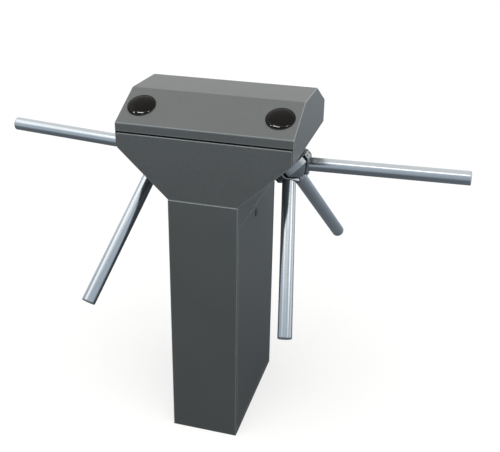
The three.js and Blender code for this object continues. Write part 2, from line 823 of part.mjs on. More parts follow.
// Involute spur gear; the phase is the direction that its first tooth points in
function gearOutline(teeth, phase) {
  const pitch = gear.module * teeth / 2;
  const base = pitch * Math.cos(gear.pressureAngle * degrees);
  const tip = pitch + gear.module * gear.addendumShare;
  const bottom = pitch - gear.module * gear.dedendumShare;
  const roll = (radius) => {
    const unrolled = Math.sqrt(Math.max((radius / base) ** 2 - 1, 0));
    return unrolled - Math.atan(unrolled);
  };
  const halfAtPitch = Math.PI / (2 * teeth) - gear.backlash / (4 * pitch);
  const half = (radius) => halfAtPitch + roll(pitch) - roll(radius);
  const radii = base > bottom ? [bottom, pitch, tip] : [bottom, tip];
  const points = [];
  for (let i = 0; i < teeth; i += 1) {
    const middle = phase + i * 2 * Math.PI / teeth;
    for (const radius of radii) {
      const angle = middle - half(radius);
      points.push([radius * Math.cos(angle), radius * Math.sin(angle)]);
    }
    for (const radius of [...radii].reverse()) {
      const angle = middle + half(radius);
      points.push([radius * Math.cos(angle), radius * Math.sin(angle)]);
    }
  }
  return points;
}

function driveWheel() {
  const outline = gearOutline(gear.wheelTeeth, Math.PI / 2);
  const blank = prism(outline, "z", wheelFrom, wheelFrom + gear.width);
  const bore = rod(axle.radius + seatGap, wheelFrom - overrun, wheelFrom + gear.width + overrun, innerSides);
  return cut(blank, bore);
}

// Motor: hangs from the carrier's plate beside the barrel, its shaft and pinion behind the plate
const motorFront = carrier.plateBack + carrier.plate + seatGap;

function motorPinion() {
  const gap = Math.PI / gear.pinionTeeth;
  const outline = gearOutline(gear.pinionTeeth, -Math.PI / 2 + gap);
  const teeth = prism(outline, "z", wheelFrom, wheelFrom + gear.width);
  const shaftEnd = motorFront + motor.shaftEngagement;
  const shaft = rod(motor.shaftRadius, wheelFrom - motor.frontDepth, shaftEnd, smallSides);
  return join(teeth, shaft).translate(0, motorOffset, 0);
}

function motorBody() {
  const bore = motor.shaftRadius + seatGap;
  const end = motorFront + motor.length;
  const shell = turned([
    [0, motorFront + motor.shaftEngagement + seatGap],
    [bore, motorFront + motor.shaftEngagement + seatGap],
    [bore, motorFront - motor.frontDepth],
    [motor.frontRadius, motorFront - motor.frontDepth],
    [motor.frontRadius, motorFront],
    [motor.radius, motorFront],
    [motor.radius, end - motor.cover],
    [motor.coverRadius, end - motor.cover],
    [motor.coverRadius, end],
    [0, end],
  ], innerSides);
  const plug = box([-motor.plugWidth / 2, motor.plugWidth / 2], [0, motor.radius + motor.plugReach],
    [end - motor.cover - motor.plugWidth, end - motor.cover]);
  return join(shell, plug).translate(0, motorOffset, 0);
}

// One barrier: what turns with the hub, what drives it and what stays on the head
function barrier(side) {
  const armNames = side === "right" ? ["level", "front", "rear"] : ["level", "rear", "front"];
  const arms = armNames.map((arm, index) => armGroup(`${side}_${arm}`, index));
  const head = group(
    piece(`${side}_hub`, hubCasting(), castAlloy),
    piece(`${side}_hub_cap`, hubCap(), blackPlastic),
    ...arms,
  );
  head.rotation.z = restTurn * degrees;
  const outerBearingFrom = skinInside - bearing.width;
  const unit = group(
    head,
    piece(`${side}_main_axle`, mainAxle(), machinedSteel),
    piece(`${side}_bearing_carrier`, bearingCarrier(), castAlloy),
    piece(`${side}_outer_bearing`, bearingRing(outerBearingFrom), machinedSteel),
    piece(`${side}_inner_bearing`, bearingRing(carrier.plateBack), machinedSteel),
    piece(`${side}_brake_coil`, brakeCoil(), blackPlastic),
    piece(`${side}_brake_plate`, brakePlate(), machinedSteel),
    piece(`${side}_drive_gear`, driveWheel(), machinedSteel),
    piece(`${side}_motor`, motorBody(), blackPlastic),
    piece(`${side}_motor_pinion`, motorPinion(), machinedSteel),
  );
  unit.applyMatrix4(barrierMatrix(side));
  return unit;
}

const turnstile = group(
  piece("base_plate", footPlate(), galvanised),
  piece("column_shell", columnShell(), satinPaint),
  piece("head_case", headCase(), satinPaint),
  piece("lid", lid(), satinPaint),
  piece("service_door", serviceDoor(), satinPaint),
  piece("power_supply", powerSupply(), galvanised),
  piece("control_board", controlBoard(), boardGreen),
  lockGroup(),
  readerGroup(1, "right"),
  readerGroup(-1, "left"),
  hingeGroup(),
  barrier("right"),
  barrier("left"),
);

export default turnstile;
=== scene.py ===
import json
import math

import bmesh
import bpy
from bpy.props import FloatProperty, FloatVectorProperty, IntProperty, PointerProperty
from mathutils import Matrix, Vector

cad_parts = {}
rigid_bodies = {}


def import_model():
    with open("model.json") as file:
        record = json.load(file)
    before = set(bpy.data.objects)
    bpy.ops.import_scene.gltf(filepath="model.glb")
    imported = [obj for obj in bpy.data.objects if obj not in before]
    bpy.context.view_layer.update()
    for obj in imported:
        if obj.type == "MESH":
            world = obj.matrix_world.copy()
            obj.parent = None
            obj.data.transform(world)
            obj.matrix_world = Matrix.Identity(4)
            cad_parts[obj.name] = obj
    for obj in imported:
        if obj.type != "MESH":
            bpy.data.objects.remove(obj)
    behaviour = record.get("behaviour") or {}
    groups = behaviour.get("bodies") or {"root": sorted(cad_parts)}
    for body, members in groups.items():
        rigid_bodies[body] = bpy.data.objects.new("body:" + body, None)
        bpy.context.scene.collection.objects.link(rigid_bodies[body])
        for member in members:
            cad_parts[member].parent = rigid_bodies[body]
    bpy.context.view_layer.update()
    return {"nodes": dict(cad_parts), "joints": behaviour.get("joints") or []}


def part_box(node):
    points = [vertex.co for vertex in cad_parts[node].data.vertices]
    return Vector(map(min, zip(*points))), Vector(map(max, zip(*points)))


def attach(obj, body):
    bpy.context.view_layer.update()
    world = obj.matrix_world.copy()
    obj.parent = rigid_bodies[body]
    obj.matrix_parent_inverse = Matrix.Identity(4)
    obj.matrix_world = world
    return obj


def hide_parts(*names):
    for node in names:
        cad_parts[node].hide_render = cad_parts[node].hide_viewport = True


bl_info = {
    "name": "Double tripod turnstile",
    "version": (1, 0, 0),
    "blender": (4, 5, 0),
    "location": "3D View > Sidebar > Turnstile",
    "description": "Builds the looks of a turnstile cabinet with two tripod barriers on its packed frame",
    "category": "Add Mesh",
}

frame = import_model()

NODES = frame["nodes"]
JOINTS = {joint["name"]: joint for joint in frame["joints"]}
MM = 0.001
UP = Vector((0, 0, 1))
PAST = 9 * MM  # How far a cutting tool reaches past the piece that it cuts
NEAR = 0.1 * MM  # How close to a face an edge has to be to count as on it
SHARP = math.radians(25)  # Fold past which an edge counts as sharp
SMOOTH = math.radians(32)  # Fold up to which an edge is shaded as if it were round

# Named places of the cabinet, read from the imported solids
COLUMN_LOW, COLUMN_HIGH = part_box("column_shell")
HEAD_LOW, HEAD_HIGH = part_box("head_case")
LID_LOW, LID_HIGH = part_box("lid")
DOOR_LOW, DOOR_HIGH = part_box("service_door")


# Properties

def linear(code):
    """Turns an sRGB hex colour into the linear colour that Blender's sockets take."""
    parts = [int(code[i:i + 2], 16) / 255 for i in (1, 3, 5)]
    return tuple(c / 12.92 if c <= 0.04045 else ((c + 0.055) / 1.055) ** 2.4 for c in parts) + (1.0,)


def properties(kind, rows, convert, **settings):
    """Values that the user may change, from rows of a value and its description."""
    return {key: kind(name=key.replace("_", " ").capitalize(), description=about, default=convert(value),
                      **settings)
            for key, (value, about) in rows.items()}


def lengths(**rows):
    """Sizes in millimetres."""
    return properties(FloatProperty, rows, lambda value: value * MM, unit="LENGTH")


def angles(**rows):
    """Angles in degrees."""
    return properties(FloatProperty, rows, math.radians, subtype="ANGLE")


def colours(**rows):
    """Colours as sRGB hex codes."""
    return properties(FloatVectorProperty, rows, linear, size=4, min=0, max=1, subtype="COLOR")


class TurnstileCabinetSizes(bpy.types.PropertyGroup):
    """Sizes of the folded sheet cabinet."""

    __annotations__ = lengths(
        sheet=(2, "Thickness of the folded sheet"),
        fold=(2.6, "Outer radius of the folds"),
        lid_fold=(2.4, "Outer radius of the lid's two front and two rear bends"),
        edge=(0.5, "Rounding of cut edges"),
        step_edge=(2.2, "Outer radius of the folds where a wall turns into its lip"),
        column_lip=(24, "Width of the lip on top of the column"),
        case_lip=(14, "Width of the lip on top of the head case"),
        slope_foot=(935.5, "Height at which the lid's slopes start"),
        flat_depth=(153, "Depth of the lid's flat top"),
        seam=(913.3, "Height of the lid's lower edge between its cheeks"),
        axle_hole=(21, "Radius of the hole that each barrier's axle passes"),
    )


class TurnstileDoorSizes(bpy.types.PropertyGroup):
    """Sizes of the service door, its frame and its lock."""

    __annotations__ = lengths(
        gap=(2.8, "Gap round the door"),
        seat=(0.3, "Clearance between touching pieces"),
        depth=(16, "Depth of the door's pan"),
        flange=(18, "Border of the frame that the door shuts against"),
        rib_depth=(11, "Depth of the door's two stiffening ribs"),
        rib_offset=(62, "Distance of each rib from the middle"),
        rib_width=(16, "Width of each folded rib"),
        hook_offset=(120, "Distance of each hook from the middle"),
        hook_width=(36, "Width of each hook"),
        hook_drop=(5, "How far each hook reaches below the sill"),
        lock_bore=(9.8, "Radius of the lock's hole in the door"),
    )


class TurnstileLockSizes(bpy.types.PropertyGroup):
    """Sizes of the door's cam lock."""

    __annotations__ = lengths(
        rim_radius=(11.5, "Radius of the lock's rim"),
        rim=(2, "How far the rim stands proud of the door"),
        body_radius=(9.5, "Radius of the threaded body"),
        plug_radius=(6.5, "Radius of the plug that the key turns"),
        plug_recess=(0.6, "How far the plug's face lies behind the rim"),
        key_width=(1.6, "Width of the key slot"),
        key_length=(8, "Length of the key slot"),
        nut_radius=(13, "Radius over the corners of the nut behind the door"),
        nut=(4, "Thickness of the nut behind the door"),
        cam_width=(13, "Width of the cam"),
        cam_reach=(24, "Reach of the cam from the lock's axis"),
    )


class TurnstileReaderSizes(bpy.types.PropertyGroup):
    """Sizes of the round readers."""

    __annotations__ = lengths(
        offset=(188, "Distance of each reader from the middle"),
        up_slope=(71, "Distance of the reader from the slope's foot"),
        radius=(39, "Outer radius of the rim"),
        rise=(2.2, "Height of the rim above the slope"),
        wall=(1.5, "Width of the rim's top"),
        crown=(9, "Height of the domed window above the slope"),
        under=(6, "Depth of the rim and window below the slope"),
        unit_radius=(31, "Radius of the sensing unit under the window"),
        unit_depth=(20, "Depth of the sensing unit"),
    )


class TurnstileBarrierSizes(bpy.types.PropertyGroup):
    """Sizes of the two tripod barriers, measured along the axle from the head's slanted skin."""

    __annotations__ = {**angles(
        rest_turn=(3.4, "How far the barrier stands turned from level"),
        cone=(49, "Angle between the axle and each arm"),
    ), **lengths(
        apex=(10.5, "Where the arms' axes meet on the axle"),
        reach=(484, "Length of an arm from where the axes meet"),
        arm_radius=(19, "Outer radius of an arm"),
        arm_wall=(1.8, "Wall of an arm"),
        arm_end=(3, "Rounding of an arm's closed end"),
        cap_flange=(3, "Thickness of an arm's end cap"),
        shoulder=(58, "Where an arm's tube starts"),
        spigot=(36, "Length of the root's spigot inside the tube"),
        back=(4.5, "Back of the hub"),
        back_radius=(55, "Radius of the hub's back"),
        disc_top=(16, "Floor of the hub's slots"),
        rim_radius=(61.5, "Radius of the hub's rim"),
        rim_top=(33, "Where the rim meets the cone"),
        nose=(68, "Front of the hub"),
        boss_radius=(24, "Radius of the hub's boss"),
        bore=(12.8, "Radius of the hub's bore"),
        slot_width=(60, "Width of the slot for each root block"),
        cap_radius=(19, "Radius of the pocket for the hub's cap"),
        cap_depth=(4, "Depth of the pocket for the hub's cap"),
        root_width=(40, "Width of each root block"),
        root_outer=(59.5, "How far each root block reaches from the axle"),
    )}


class TurnstileDriveSizes(bpy.types.PropertyGroup):
    """Sizes of each barrier's drive, measured along the axle from the head's slanted skin."""

    __annotations__ = lengths(
        skin=(-2.3, "Inner face of the head's slanted skin"),
        axle_radius=(12.5, "Radius of the axle in its bearings"),
        collar_radius=(15.5, "Radius of the axle between its bearings"),
        axle_inner=(-121, "Inner end of the axle"),
        axle_outer=(60, "Outer end of the axle, inside the hub"),
        bearing_radius=(26, "Outer radius of each bearing"),
        bearing_width=(15, "Width of each bearing"),
        flange_radius=(50, "Radius of the carrier's flange on the skin"),
        flange=(8, "Thickness of the carrier's flange"),
        flange_screw_circle=(42, "Radius of the circle of the flange's screws"),
        barrel_radius=(33, "Radius of the carrier's barrel"),
        rib_reach=(34, "How far each rib runs along the barrel"),
        rib_width=(6, "Thickness of each rib"),
        plate_back=(-83, "Back of the carrier's plate"),
        plate=(8, "Thickness of the carrier's plate"),
        plate_radius=(44, "Radius of the plate round the axle"),
        pad_radius=(33, "Radius of the plate round the motor"),
        offset=(65, "Distance between axle and motor"),
        motor_screw_circle=(22, "Radius of the circle of the screws that hold the motor"),
        brake_radius=(40, "Radius of the holding brake"),
        coil=(15, "Thickness of the brake's coil housing"),
        air_gap=(0.6, "Gap between the brake's housing and disc"),
        disc=(4, "Thickness of the brake's disc"),
        brake_screw_circle=(36.4, "Radius of the circle of the brake's screws"),
        winding_inner=(21, "Inner radius of the brake's potted winding"),
        winding_outer=(32, "Outer radius of the brake's potted winding"),
        lining_inner=(19, "Inner radius of the brake disc's lining"),
        disc_hole=(3.4, "Radius of each hole in the brake's disc"),
        disc_hole_circle=(30, "Radius of the circle of the disc's holes"),
        gear_width=(12, "Width of the drive gear and the pinion"),
        web_inner=(19, "Radius of the gear's boss"),
        web_outer=(39, "Radius at which the gear's rim starts"),
        web_hole=(5.5, "Radius of each hole in the gear's web"),
        web_hole_circle=(29, "Radius of the circle of the web's holes"),
        shaft_radius=(5, "Radius of the motor's shaft"),
        shaft_depth=(12, "How far the pinion's shaft reaches into the motor"),
        front_radius=(14, "Radius of the boss on the motor's front"),
        front_depth=(3, "Height of the boss on the motor's front"),
        motor_radius=(28, "Radius of the motor"),
        motor_length=(52, "Length of the motor"),
        cover_radius=(24, "Radius of the motor's end cover"),
        cover=(10, "Length of the motor's end cover"),
        plug_width=(16, "Width of the motor's socket"),
        plug_reach=(4, "How far the motor's socket stands out"),
    )


class TurnstileHingeSizes(bpy.types.PropertyGroup):
    """Sizes of the lid's rear hinge."""

    __annotations__ = lengths(
        width=(300, "Length of the hinge along the lid"),
        leaf=(1.5, "Thickness of each leaf"),
        leaf_height=(20, "Height of each leaf from the pin"),
        knuckle_radius=(3.2, "Radius of the knuckles"),
        pin_radius=(1.5, "Radius of the pin"),
    )
    knuckles: IntProperty(name="Knuckles", description="Number of knuckles", default=5, min=3)


class TurnstileInsideSizes(bpy.types.PropertyGroup):
    """Sizes of the base plate, the power supply and the control board."""

    __annotations__ = lengths(
        plate=(8, "Thickness of the base plate"),
        anchor_hole=(7, "Radius of each anchor hole"),
        anchor_x=(28, "Distance of each anchor from the plate's side"),
        anchor_y=(38, "Distance of each anchor from the plate's end"),
        way_width=(90, "Width of the cable way"),
        way_depth=(150, "Depth of the cable way"),
        supply_width=(150, "Width of the power supply"),
        supply_height=(98, "Height of the power supply"),
        supply_depth=(42, "Depth of the power supply"),
        lug=(12, "Width of each lug of the power supply"),
        slot=(4, "Width of each cooling slot"),
        board_width=(190, "Width of the control board"),
        board_height=(130, "Height of the control board"),
        board=(1.6, "Thickness of the printed board"),
        standoff=(10, "Distance of the board from the wall"),
        inset=(12, "Distance of each standoff from the board's edges"),
    )


class TurnstileFinishColours(bpy.types.PropertyGroup):
    """Colours of the finishes."""

    __annotations__ = colours(
        paint=("#6D706F", "Metallic powder coat of the cabinet"),
        polished=("#C4CACE", "Polished stainless steel of the arms"),
        alloy=("#A0A5A7", "Blasted cast alloy of the hubs"),
        steel=("#A8ABAD", "Turned and ground steel"),
        zinc=("#A9AFB1", "Zinc coat of the base plate and power supply"),
        enamel=("#1B1C1E", "Black enamel of the motors"),
        plastic=("#18191B", "Black moulded plastic"),
        window=("#171411", "Smoky black acrylic of the reader windows"),
        mask=("#1C5233", "Solder mask of the control board"),
        floor=("#B4B4B2", "Pale floor"),
        mat=("#3A3C3E", "Grey felt mat that the polished arms mirror"),
    )


class TurnstileStageSettings(bpy.types.PropertyGroup):
    """Camera, lights and the mat."""

    __annotations__ = {**angles(
        camera_turn=(15.542, "Turn of the camera to the left of straight ahead"),
        camera_pitch=(23.484, "How far the camera looks down"),
        camera_roll=(0.9315, "Roll of the camera"),
        ceiling_lean=(21, "How far the overhead light leans to the front"),
        ceiling_side=(6, "How far the overhead light leans to the right"),
        ceiling_spread=(70, "How wide the overhead light is, as seen from the object"),
    ), **properties(FloatProperty, {
        "camera_lens": (55.42, "Focal length in millimetres"),
        "ceiling": (2.4, "Strength of the soft overhead light"),
        "room": (0.18, "Strength of the even light of the room"),
        "front": (12.0, "Power of the broad front light in watts"),
        "left": (11.0, "Power of the soft light on the left in watts"),
        "right": (3.4, "Power of the narrow light on the right in watts"),
        "top": (9.0, "Power in watts of the long light that folds and arms mirror"),
        "tube": (90.0, "Power of the tube lamps in watts for each metre"),
    }, float), **lengths(
        mat_radius=(6000, "Radius of the grey mat that reflections show"),
    )}
    camera_place: FloatVectorProperty(name="Camera place", description="Where the camera stands",
                                      default=(0.61446, -1.94768, 1.54007), unit="LENGTH")
    camera_shift: FloatVectorProperty(name="Camera shift", description="Shift of the picture in the camera",
                                      size=2, default=(0.0012, -0.0424))


SETTINGS = {
    "turnstile_cabinet": TurnstileCabinetSizes,
    "turnstile_door": TurnstileDoorSizes,
    "turnstile_lock": TurnstileLockSizes,
    "turnstile_reader": TurnstileReaderSizes,
    "turnstile_barrier": TurnstileBarrierSizes,
    "turnstile_drive": TurnstileDriveSizes,
    "turnstile_hinge": TurnstileHingeSizes,
    "turnstile_inside": TurnstileInsideSizes,
    "turnstile_colours": TurnstileFinishColours,
    "turnstile_stage": TurnstileStageSettings,
}


# Modelling helpers

def deselect():
    """Lets go of every object, so that none is changed by accident."""
    bpy.ops.object.select_all(action="DESELECT")


def remove(*pieces):
    """Takes away pieces that were only needed as patterns or tools."""
    for piece in pieces:
        bpy.data.objects.remove(piece)


def make_active(piece):
    """Selects this piece alone."""
    deselect()
    piece.select_set(True)
    bpy.context.view_layer.objects.active = piece


def settle(piece):
    """Puts the piece's place, turn and size into its mesh."""
    make_active(piece)
    bpy.ops.object.transform_apply(location=True, rotation=True, scale=True)
    return piece


def place(piece, matrix):
    """Moves a piece that was modelled in its own axes to its place on the object."""
    piece.matrix_world = matrix @ piece.matrix_world
    return settle(piece)


def copied(piece, name, matrix):
    """A copy of the piece with its own mesh, moved by the matrix."""
    make_active(piece)
    bpy.ops.object.duplicate(linked=False)
    copy = bpy.context.active_object
    copy.name = name
    return place(copy, matrix)


def axes_at(point, z_axis, y_axis):
    """A matrix whose Z and Y axes point as given."""
    z = Vector(z_axis).normalized()
    x = Vector(y_axis).cross(z).normalized()
    matrix = Matrix((x, z.cross(x), z)).transposed().to_4x4()
    matrix.translation = point
    return matrix


def add_box(name, low, high):
    """A box between two corners."""
    low, high = Vector(low), Vector(high)
    deselect()
    bpy.ops.mesh.primitive_cube_add(size=1, location=(low + high) / 2, scale=high - low)
    box = bpy.context.active_object
    box.name = name
    return settle(box)


def add_rod(name, radius, start, end, sides=64):
    """A round bar along Z."""
    deselect()
    bpy.ops.mesh.primitive_cylinder_add(vertices=sides, radius=radius, depth=end - start,
                                        location=(0, 0, (start + end) / 2))
    rod = bpy.context.active_object
    rod.name = name
    return settle(rod)


def edit(piece, domain, test=lambda part: True):
    """Enters edit mode with the faces or edges selected that pass the test."""
    make_active(piece)
    bpy.ops.object.mode_set(mode="EDIT")
    bpy.ops.mesh.select_mode(type="FACE" if domain == "faces" else "EDGE")
    bpy.ops.mesh.select_all(action="DESELECT")
    mesh = bmesh.from_edit_mesh(piece.data)
    for part in getattr(mesh, domain):
        if test(part):
            part.select_set(True)
    bmesh.update_edit_mesh(piece.data)


def leave_edit():
    """Goes back to object mode."""
    bpy.ops.object.mode_set(mode="OBJECT")


def bevel_edges(piece, test, width, segments=4):
    """Rounds the edges that pass the test."""
    edit(piece, "edges", test)
    bpy.ops.mesh.bevel(offset=width, segments=segments, affect="EDGES", clamp_overlap=True)
    leave_edit()


def slice_off(piece, point, outward):
    """Cuts off what lies beyond a plane and closes the cut."""
    edit(piece, "faces")
    bpy.ops.mesh.bisect(plane_co=point, plane_no=outward, use_fill=True, clear_outer=True)
    leave_edit()


def edges_along(direction, where=lambda middle: True):
    """A test for edges along a direction whose middle passes a second test."""
    direction = Vector(direction).normalized()

    def test(edge):
        start, end = (vertex.co for vertex in edge.verts)
        along = abs((end - start).normalized().dot(direction)) > 0.999
        return along and where((start + end) / 2)
    return test


def corners_of(x, y, z=0):
    """Places of a rectangle's four corners round the Z axis."""
    return [Vector((i * x, j * y, z)) for i in (-1, 1) for j in (-1, 1)]


def above(height):
    """A test for places above a height."""
    return lambda middle: middle.z > height


def sharp_edges(where=lambda middle: True):
    """A test for sharp edges whose middle passes a second test."""
    def test(edge):
        start, end = (vertex.co for vertex in edge.verts)
        return len(edge.link_faces) == 2 and edge.calc_face_angle(0) > SHARP and where((start + end) / 2)
    return test


def apply_modifier(piece, kind, **settings):
    """Adds a modifier with its settings and applies it."""
    make_active(piece)
    modifier = piece.modifiers.new(kind.lower(), kind)
    for name, value in settings.items():
        setattr(modifier, name, value)
    bpy.ops.object.modifier_apply(modifier=modifier.name)


def combine(piece, others, operation):
    """Cuts, joins or intersects the piece with others, which are used up."""
    for other in others:
        apply_modifier(piece, "BOOLEAN", object=other, operation=operation, solver="EXACT")
        remove(other)
    return piece


def cut(piece, *tools):
    """Cuts the tools out of the piece."""
    return combine(piece, tools, "DIFFERENCE")


def fuse(piece, *others):
    """Makes one solid of the piece and the others."""
    return combine(piece, others, "UNION")


def joined(name, *parts):
    """One piece of several parts that stay separate shells."""
    deselect()
    for part in parts:
        part.select_set(True)
    bpy.context.view_layer.objects.active = parts[0]
    bpy.ops.object.join()
    parts[0].name = name
    return parts[0]


def repeated(name, piece, spots):
    """Copies of the piece on the given places, as one piece. The pattern itself is used up."""
    copies = [copied(piece, "copy", spot) for spot in spots]
    remove(piece)
    return joined(name, *copies)


def break_edges(piece, width, segments=2, limit=30):
    """Breaks every sharp edge, as a deburred real one."""
    apply_modifier(piece, "BEVEL", width=width, segments=segments, limit_method="ANGLE",
                   angle_limit=math.radians(limit), harden_normals=False)


def rounded(corners, steps=4):
    """Turns corners (radius, height, fillet) into a profile with arcs that touch both sides."""
    points = []
    for i, (radius, height, fillet) in enumerate(corners):
        here = Vector((radius, height))
        if fillet == 0 or i in (0, len(corners) - 1):
            points.append(here)
            continue
        before = (Vector(corners[i - 1][:2]) - here).normalized()
        after = (Vector(corners[i + 1][:2]) - here).normalized()
        half = before.angle(after) / 2
        centre = here + (before + after).normalized() * fillet / math.sin(half)
        start = here + before * fillet / math.tan(half) - centre
        end = here + after * fillet / math.tan(half) - centre
        for step in range(steps + 1):
            points.append(centre + start.lerp(end, step / steps).normalized() * fillet)
    return points


def spun(name, profile, sides=96):
    """A turned piece round Z from a profile of (radius, height)."""
    deselect()
    bpy.ops.mesh.primitive_plane_add(size=MM)
    piece = bpy.context.active_object
    piece.name = name
    bpy.ops.object.mode_set(mode="EDIT")
    bpy.ops.mesh.select_mode(type="VERT")
    bpy.ops.mesh.select_all(action="SELECT")
    bpy.ops.mesh.merge(type="CENTER")
    points = [Vector((radius, 0, height)) for radius, height in profile]
    bpy.ops.transform.translate(value=points[0])
    for here, after in zip(points, points[1:]):
        bpy.ops.mesh.extrude_vertices_move(TRANSFORM_OT_translate={"value": after - here})
    bpy.ops.mesh.select_all(action="SELECT")
    bpy.ops.mesh.spin(steps=sides, angle=math.tau, center=(0, 0, 0), axis=(0, 0, 1))
    bpy.ops.mesh.select_all(action="SELECT")
    bpy.ops.mesh.remove_doubles(threshold=MM / 1000)
    bpy.ops.mesh.normals_make_consistent(inside=False)
    leave_edit()
    return piece


def turned(name, corners, sides=96, steps=4):
    """A turned piece round Z from corners (radius, height, fillet)."""
    return spun(name, rounded(corners, steps), sides)


def ring(name, corners, sides=96, steps=4):
    """A turned piece with a hole, whose profile closes on itself."""
    return turned(name, [*corners, corners[0]], sides, steps)


def finish_piece(piece, body, slot, *nodes):
    """Shades the piece, gives it the finish of its slot and ties it to its CAD body and nodes."""
    make_active(piece)
    bpy.ops.object.shade_smooth_by_angle(angle=SMOOTH)
    apply_modifier(piece, "WEIGHTED_NORMAL", keep_sharp=True, weight=80)
    piece.data.materials.clear()
    piece.data.materials.append(finish_of(slot))
    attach(piece, body)
    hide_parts(*nodes)


# Materials

def add_node(tree, kind, settings=None, inputs=None):
    """Adds a node with its own settings, and input values or the sockets that feed it."""
    made = tree.nodes.new(kind)
    for name, value in (settings or {}).items():
        setattr(made, name, value)
    for name, value in (inputs or {}).items():
        if isinstance(value, bpy.types.NodeSocket):
            tree.links.new(value, made.inputs[name])
        else:
            made.inputs[name].default_value = value
    return made


def new_material(name):
    """An empty node material and the socket of its object coordinates."""
    material = bpy.data.materials.new(name)
    material.use_nodes = True
    material.node_tree.nodes.clear()
    coordinates = add_node(material.node_tree, "ShaderNodeTexCoord")
    return material, material.node_tree, coordinates.outputs["Object"]


def add_surface(tree, **inputs):
    """Adds the shader and the output. Underscores stand for the blanks in the sockets' names."""
    shader = add_node(tree, "ShaderNodeBsdfPrincipled",
                      inputs={name.replace("_", " "): value for name, value in inputs.items()})
    add_node(tree, "ShaderNodeOutputMaterial", inputs={"Surface": shader.outputs["BSDF"]})


def ranged(tree, value, low, high, start=0.3, end=0.7):
    """Spreads the middle of a pattern's values over a range."""
    return add_node(tree, "ShaderNodeMapRange", inputs={
        "Value": value, "From Min": start, "From Max": end, "To Min": low, "To Max": high,
    }).outputs["Result"]


def pattern(tree, where, size, detail=2.0, roughness=0.5):
    """Irregular noise whose lumps are about as wide as the size."""
    return add_node(tree, "ShaderNodeTexNoise", inputs={
        "Vector": where, "Scale": 1 / size, "Detail": detail, "Roughness": roughness,
    }).outputs["Fac"]


def times(tree, first, second):
    """The product of two values."""
    return add_node(tree, "ShaderNodeMath", {"operation": "MULTIPLY"}, {0: first, 1: second}).outputs[0]


def shaded(tree, base, value):
    """A colour made lighter and darker by a value around 1."""
    return add_node(tree, "ShaderNodeHueSaturation", inputs={"Color": base, "Value": value}).outputs["Color"]


def raised(tree, height, distance, strength=1.0):
    """A bump of a real height."""
    return add_node(tree, "ShaderNodeBump", inputs={
        "Height": height, "Distance": distance, "Strength": strength,
    }).outputs["Normal"]


def edge_wear(tree, width):
    """Painted highlight along outer edges and folds, from 0 on the flat to 1 on the edge."""
    softened = add_node(tree, "ShaderNodeBevel", {"samples": 4}, {"Radius": width}).outputs["Normal"]
    plain = add_node(tree, "ShaderNodeNewGeometry").outputs["Normal"]
    agreement = add_node(tree, "ShaderNodeVectorMath", {"operation": "DOT_PRODUCT"}, {0: softened, 1: plain})
    return ranged(tree, agreement.outputs["Value"], 1, 0, 0.975, 0.999)


def powder_coated_steel(colours):
    # Metallic powder coat on folded steel: satin, with fine flake and slight orange peel.
    # The folds and edges get a painted highlight, which makes them look paler
    material, tree, where = new_material("powder_coated_steel")
    flake = pattern(tree, where, 1.6 * MM)
    clouds = pattern(tree, where, 160 * MM, detail=3.0)
    tone = times(tree, ranged(tree, flake, 0.84, 1.16), ranged(tree, clouds, 0.97, 1.03))
    # Painted highlight: folds and edges are made up to 2.4 times lighter
    tone = times(tree, tone, ranged(tree, edge_wear(tree, 3 * MM), 1.0, 2.4, 0, 1))
    peel = pattern(tree, where, 2.6 * MM)
    add_surface(tree,
                Base_Color=shaded(tree, tuple(colours.paint), tone),
                Metallic=0.6,
                Roughness=ranged(tree, flake, 0.34, 0.46),
                Normal=raised(tree, peel, 0.03 * MM, 0.6))
    return material


def even_finish(name, colour, blotch, tone, roughness, grain, relief, **more):
    """A finish whose broad blotches vary its tone and roughness, under a fine grain of a real height.
    Blotch and grain are what pattern() takes, and relief is what raised() takes."""
    material, tree, where = new_material(name)
    blotches = pattern(tree, where, *blotch)
    add_surface(tree,
                Base_Color=shaded(tree, tuple(colour), ranged(tree, blotches, *tone)),
                Roughness=ranged(tree, blotches, *roughness),
                Normal=raised(tree, pattern(tree, where, *grain), *relief),
                **more)
    return material


def polished_stainless(colours):
    # Mirror-polished stainless tube: clear reflections, softened by faint handling marks
    return even_finish("polished_stainless", colours.polished, blotch=(45 * MM, 4, 0.6), tone=(0.97, 1.02),
                       roughness=(0.14, 0.21), grain=(8 * MM,), relief=(0.002 * MM, 0.3), Metallic=1.0)


def blasted_alloy(colours):
    # Cast aluminium alloy, bead blasted: fine even grain and a soft bright sheen
    material, tree, where = new_material("blasted_alloy")
    grain = pattern(tree, where, 0.9 * MM, detail=3.0)
    clouds = pattern(tree, where, 30 * MM, detail=3.0)
    tone = times(tree, ranged(tree, grain, 0.92, 1.07), ranged(tree, clouds, 0.96, 1.03))
    add_surface(tree,
                Base_Color=shaded(tree, tuple(colours.alloy), tone),
                Metallic=1.0,
                Roughness=ranged(tree, clouds, 0.22, 0.32),
                Normal=raised(tree, grain, 0.03 * MM, 0.5))
    return material


def machined_steel(colours):
    # Turned and ground steel, lightly oiled: a tight grain and patches of oil film
    return even_finish("machined_steel", colours.steel, blotch=(22 * MM, 4), tone=(0.92, 1.04),
                       roughness=(0.22, 0.38), grain=(0.6 * MM,), relief=(0.02 * MM, 0.5), Metallic=1.0)


def galvanised_steel(colours):
    # Hot-dip zinc: crystals some 9 mm wide, each with its own tone and gloss
    material, tree, where = new_material("galvanised_steel")
    spangle = add_node(tree, "ShaderNodeTexVoronoi", inputs={"Vector": where, "Scale": 1 / (9 * MM)})
    level = add_node(tree, "ShaderNodeSeparateColor", inputs={"Color": spangle.outputs["Color"]}).outputs["Red"]
    grain = pattern(tree, where, 0.8 * MM)
    add_surface(tree,
                Base_Color=shaded(tree, tuple(colours.zinc), ranged(tree, level, 0.88, 1.08, 0, 1)),
                Metallic=1.0,
                Roughness=ranged(tree, level, 0.36, 0.52, 0, 1),
                Normal=raised(tree, grain, 0.02 * MM, 0.5))
    return material


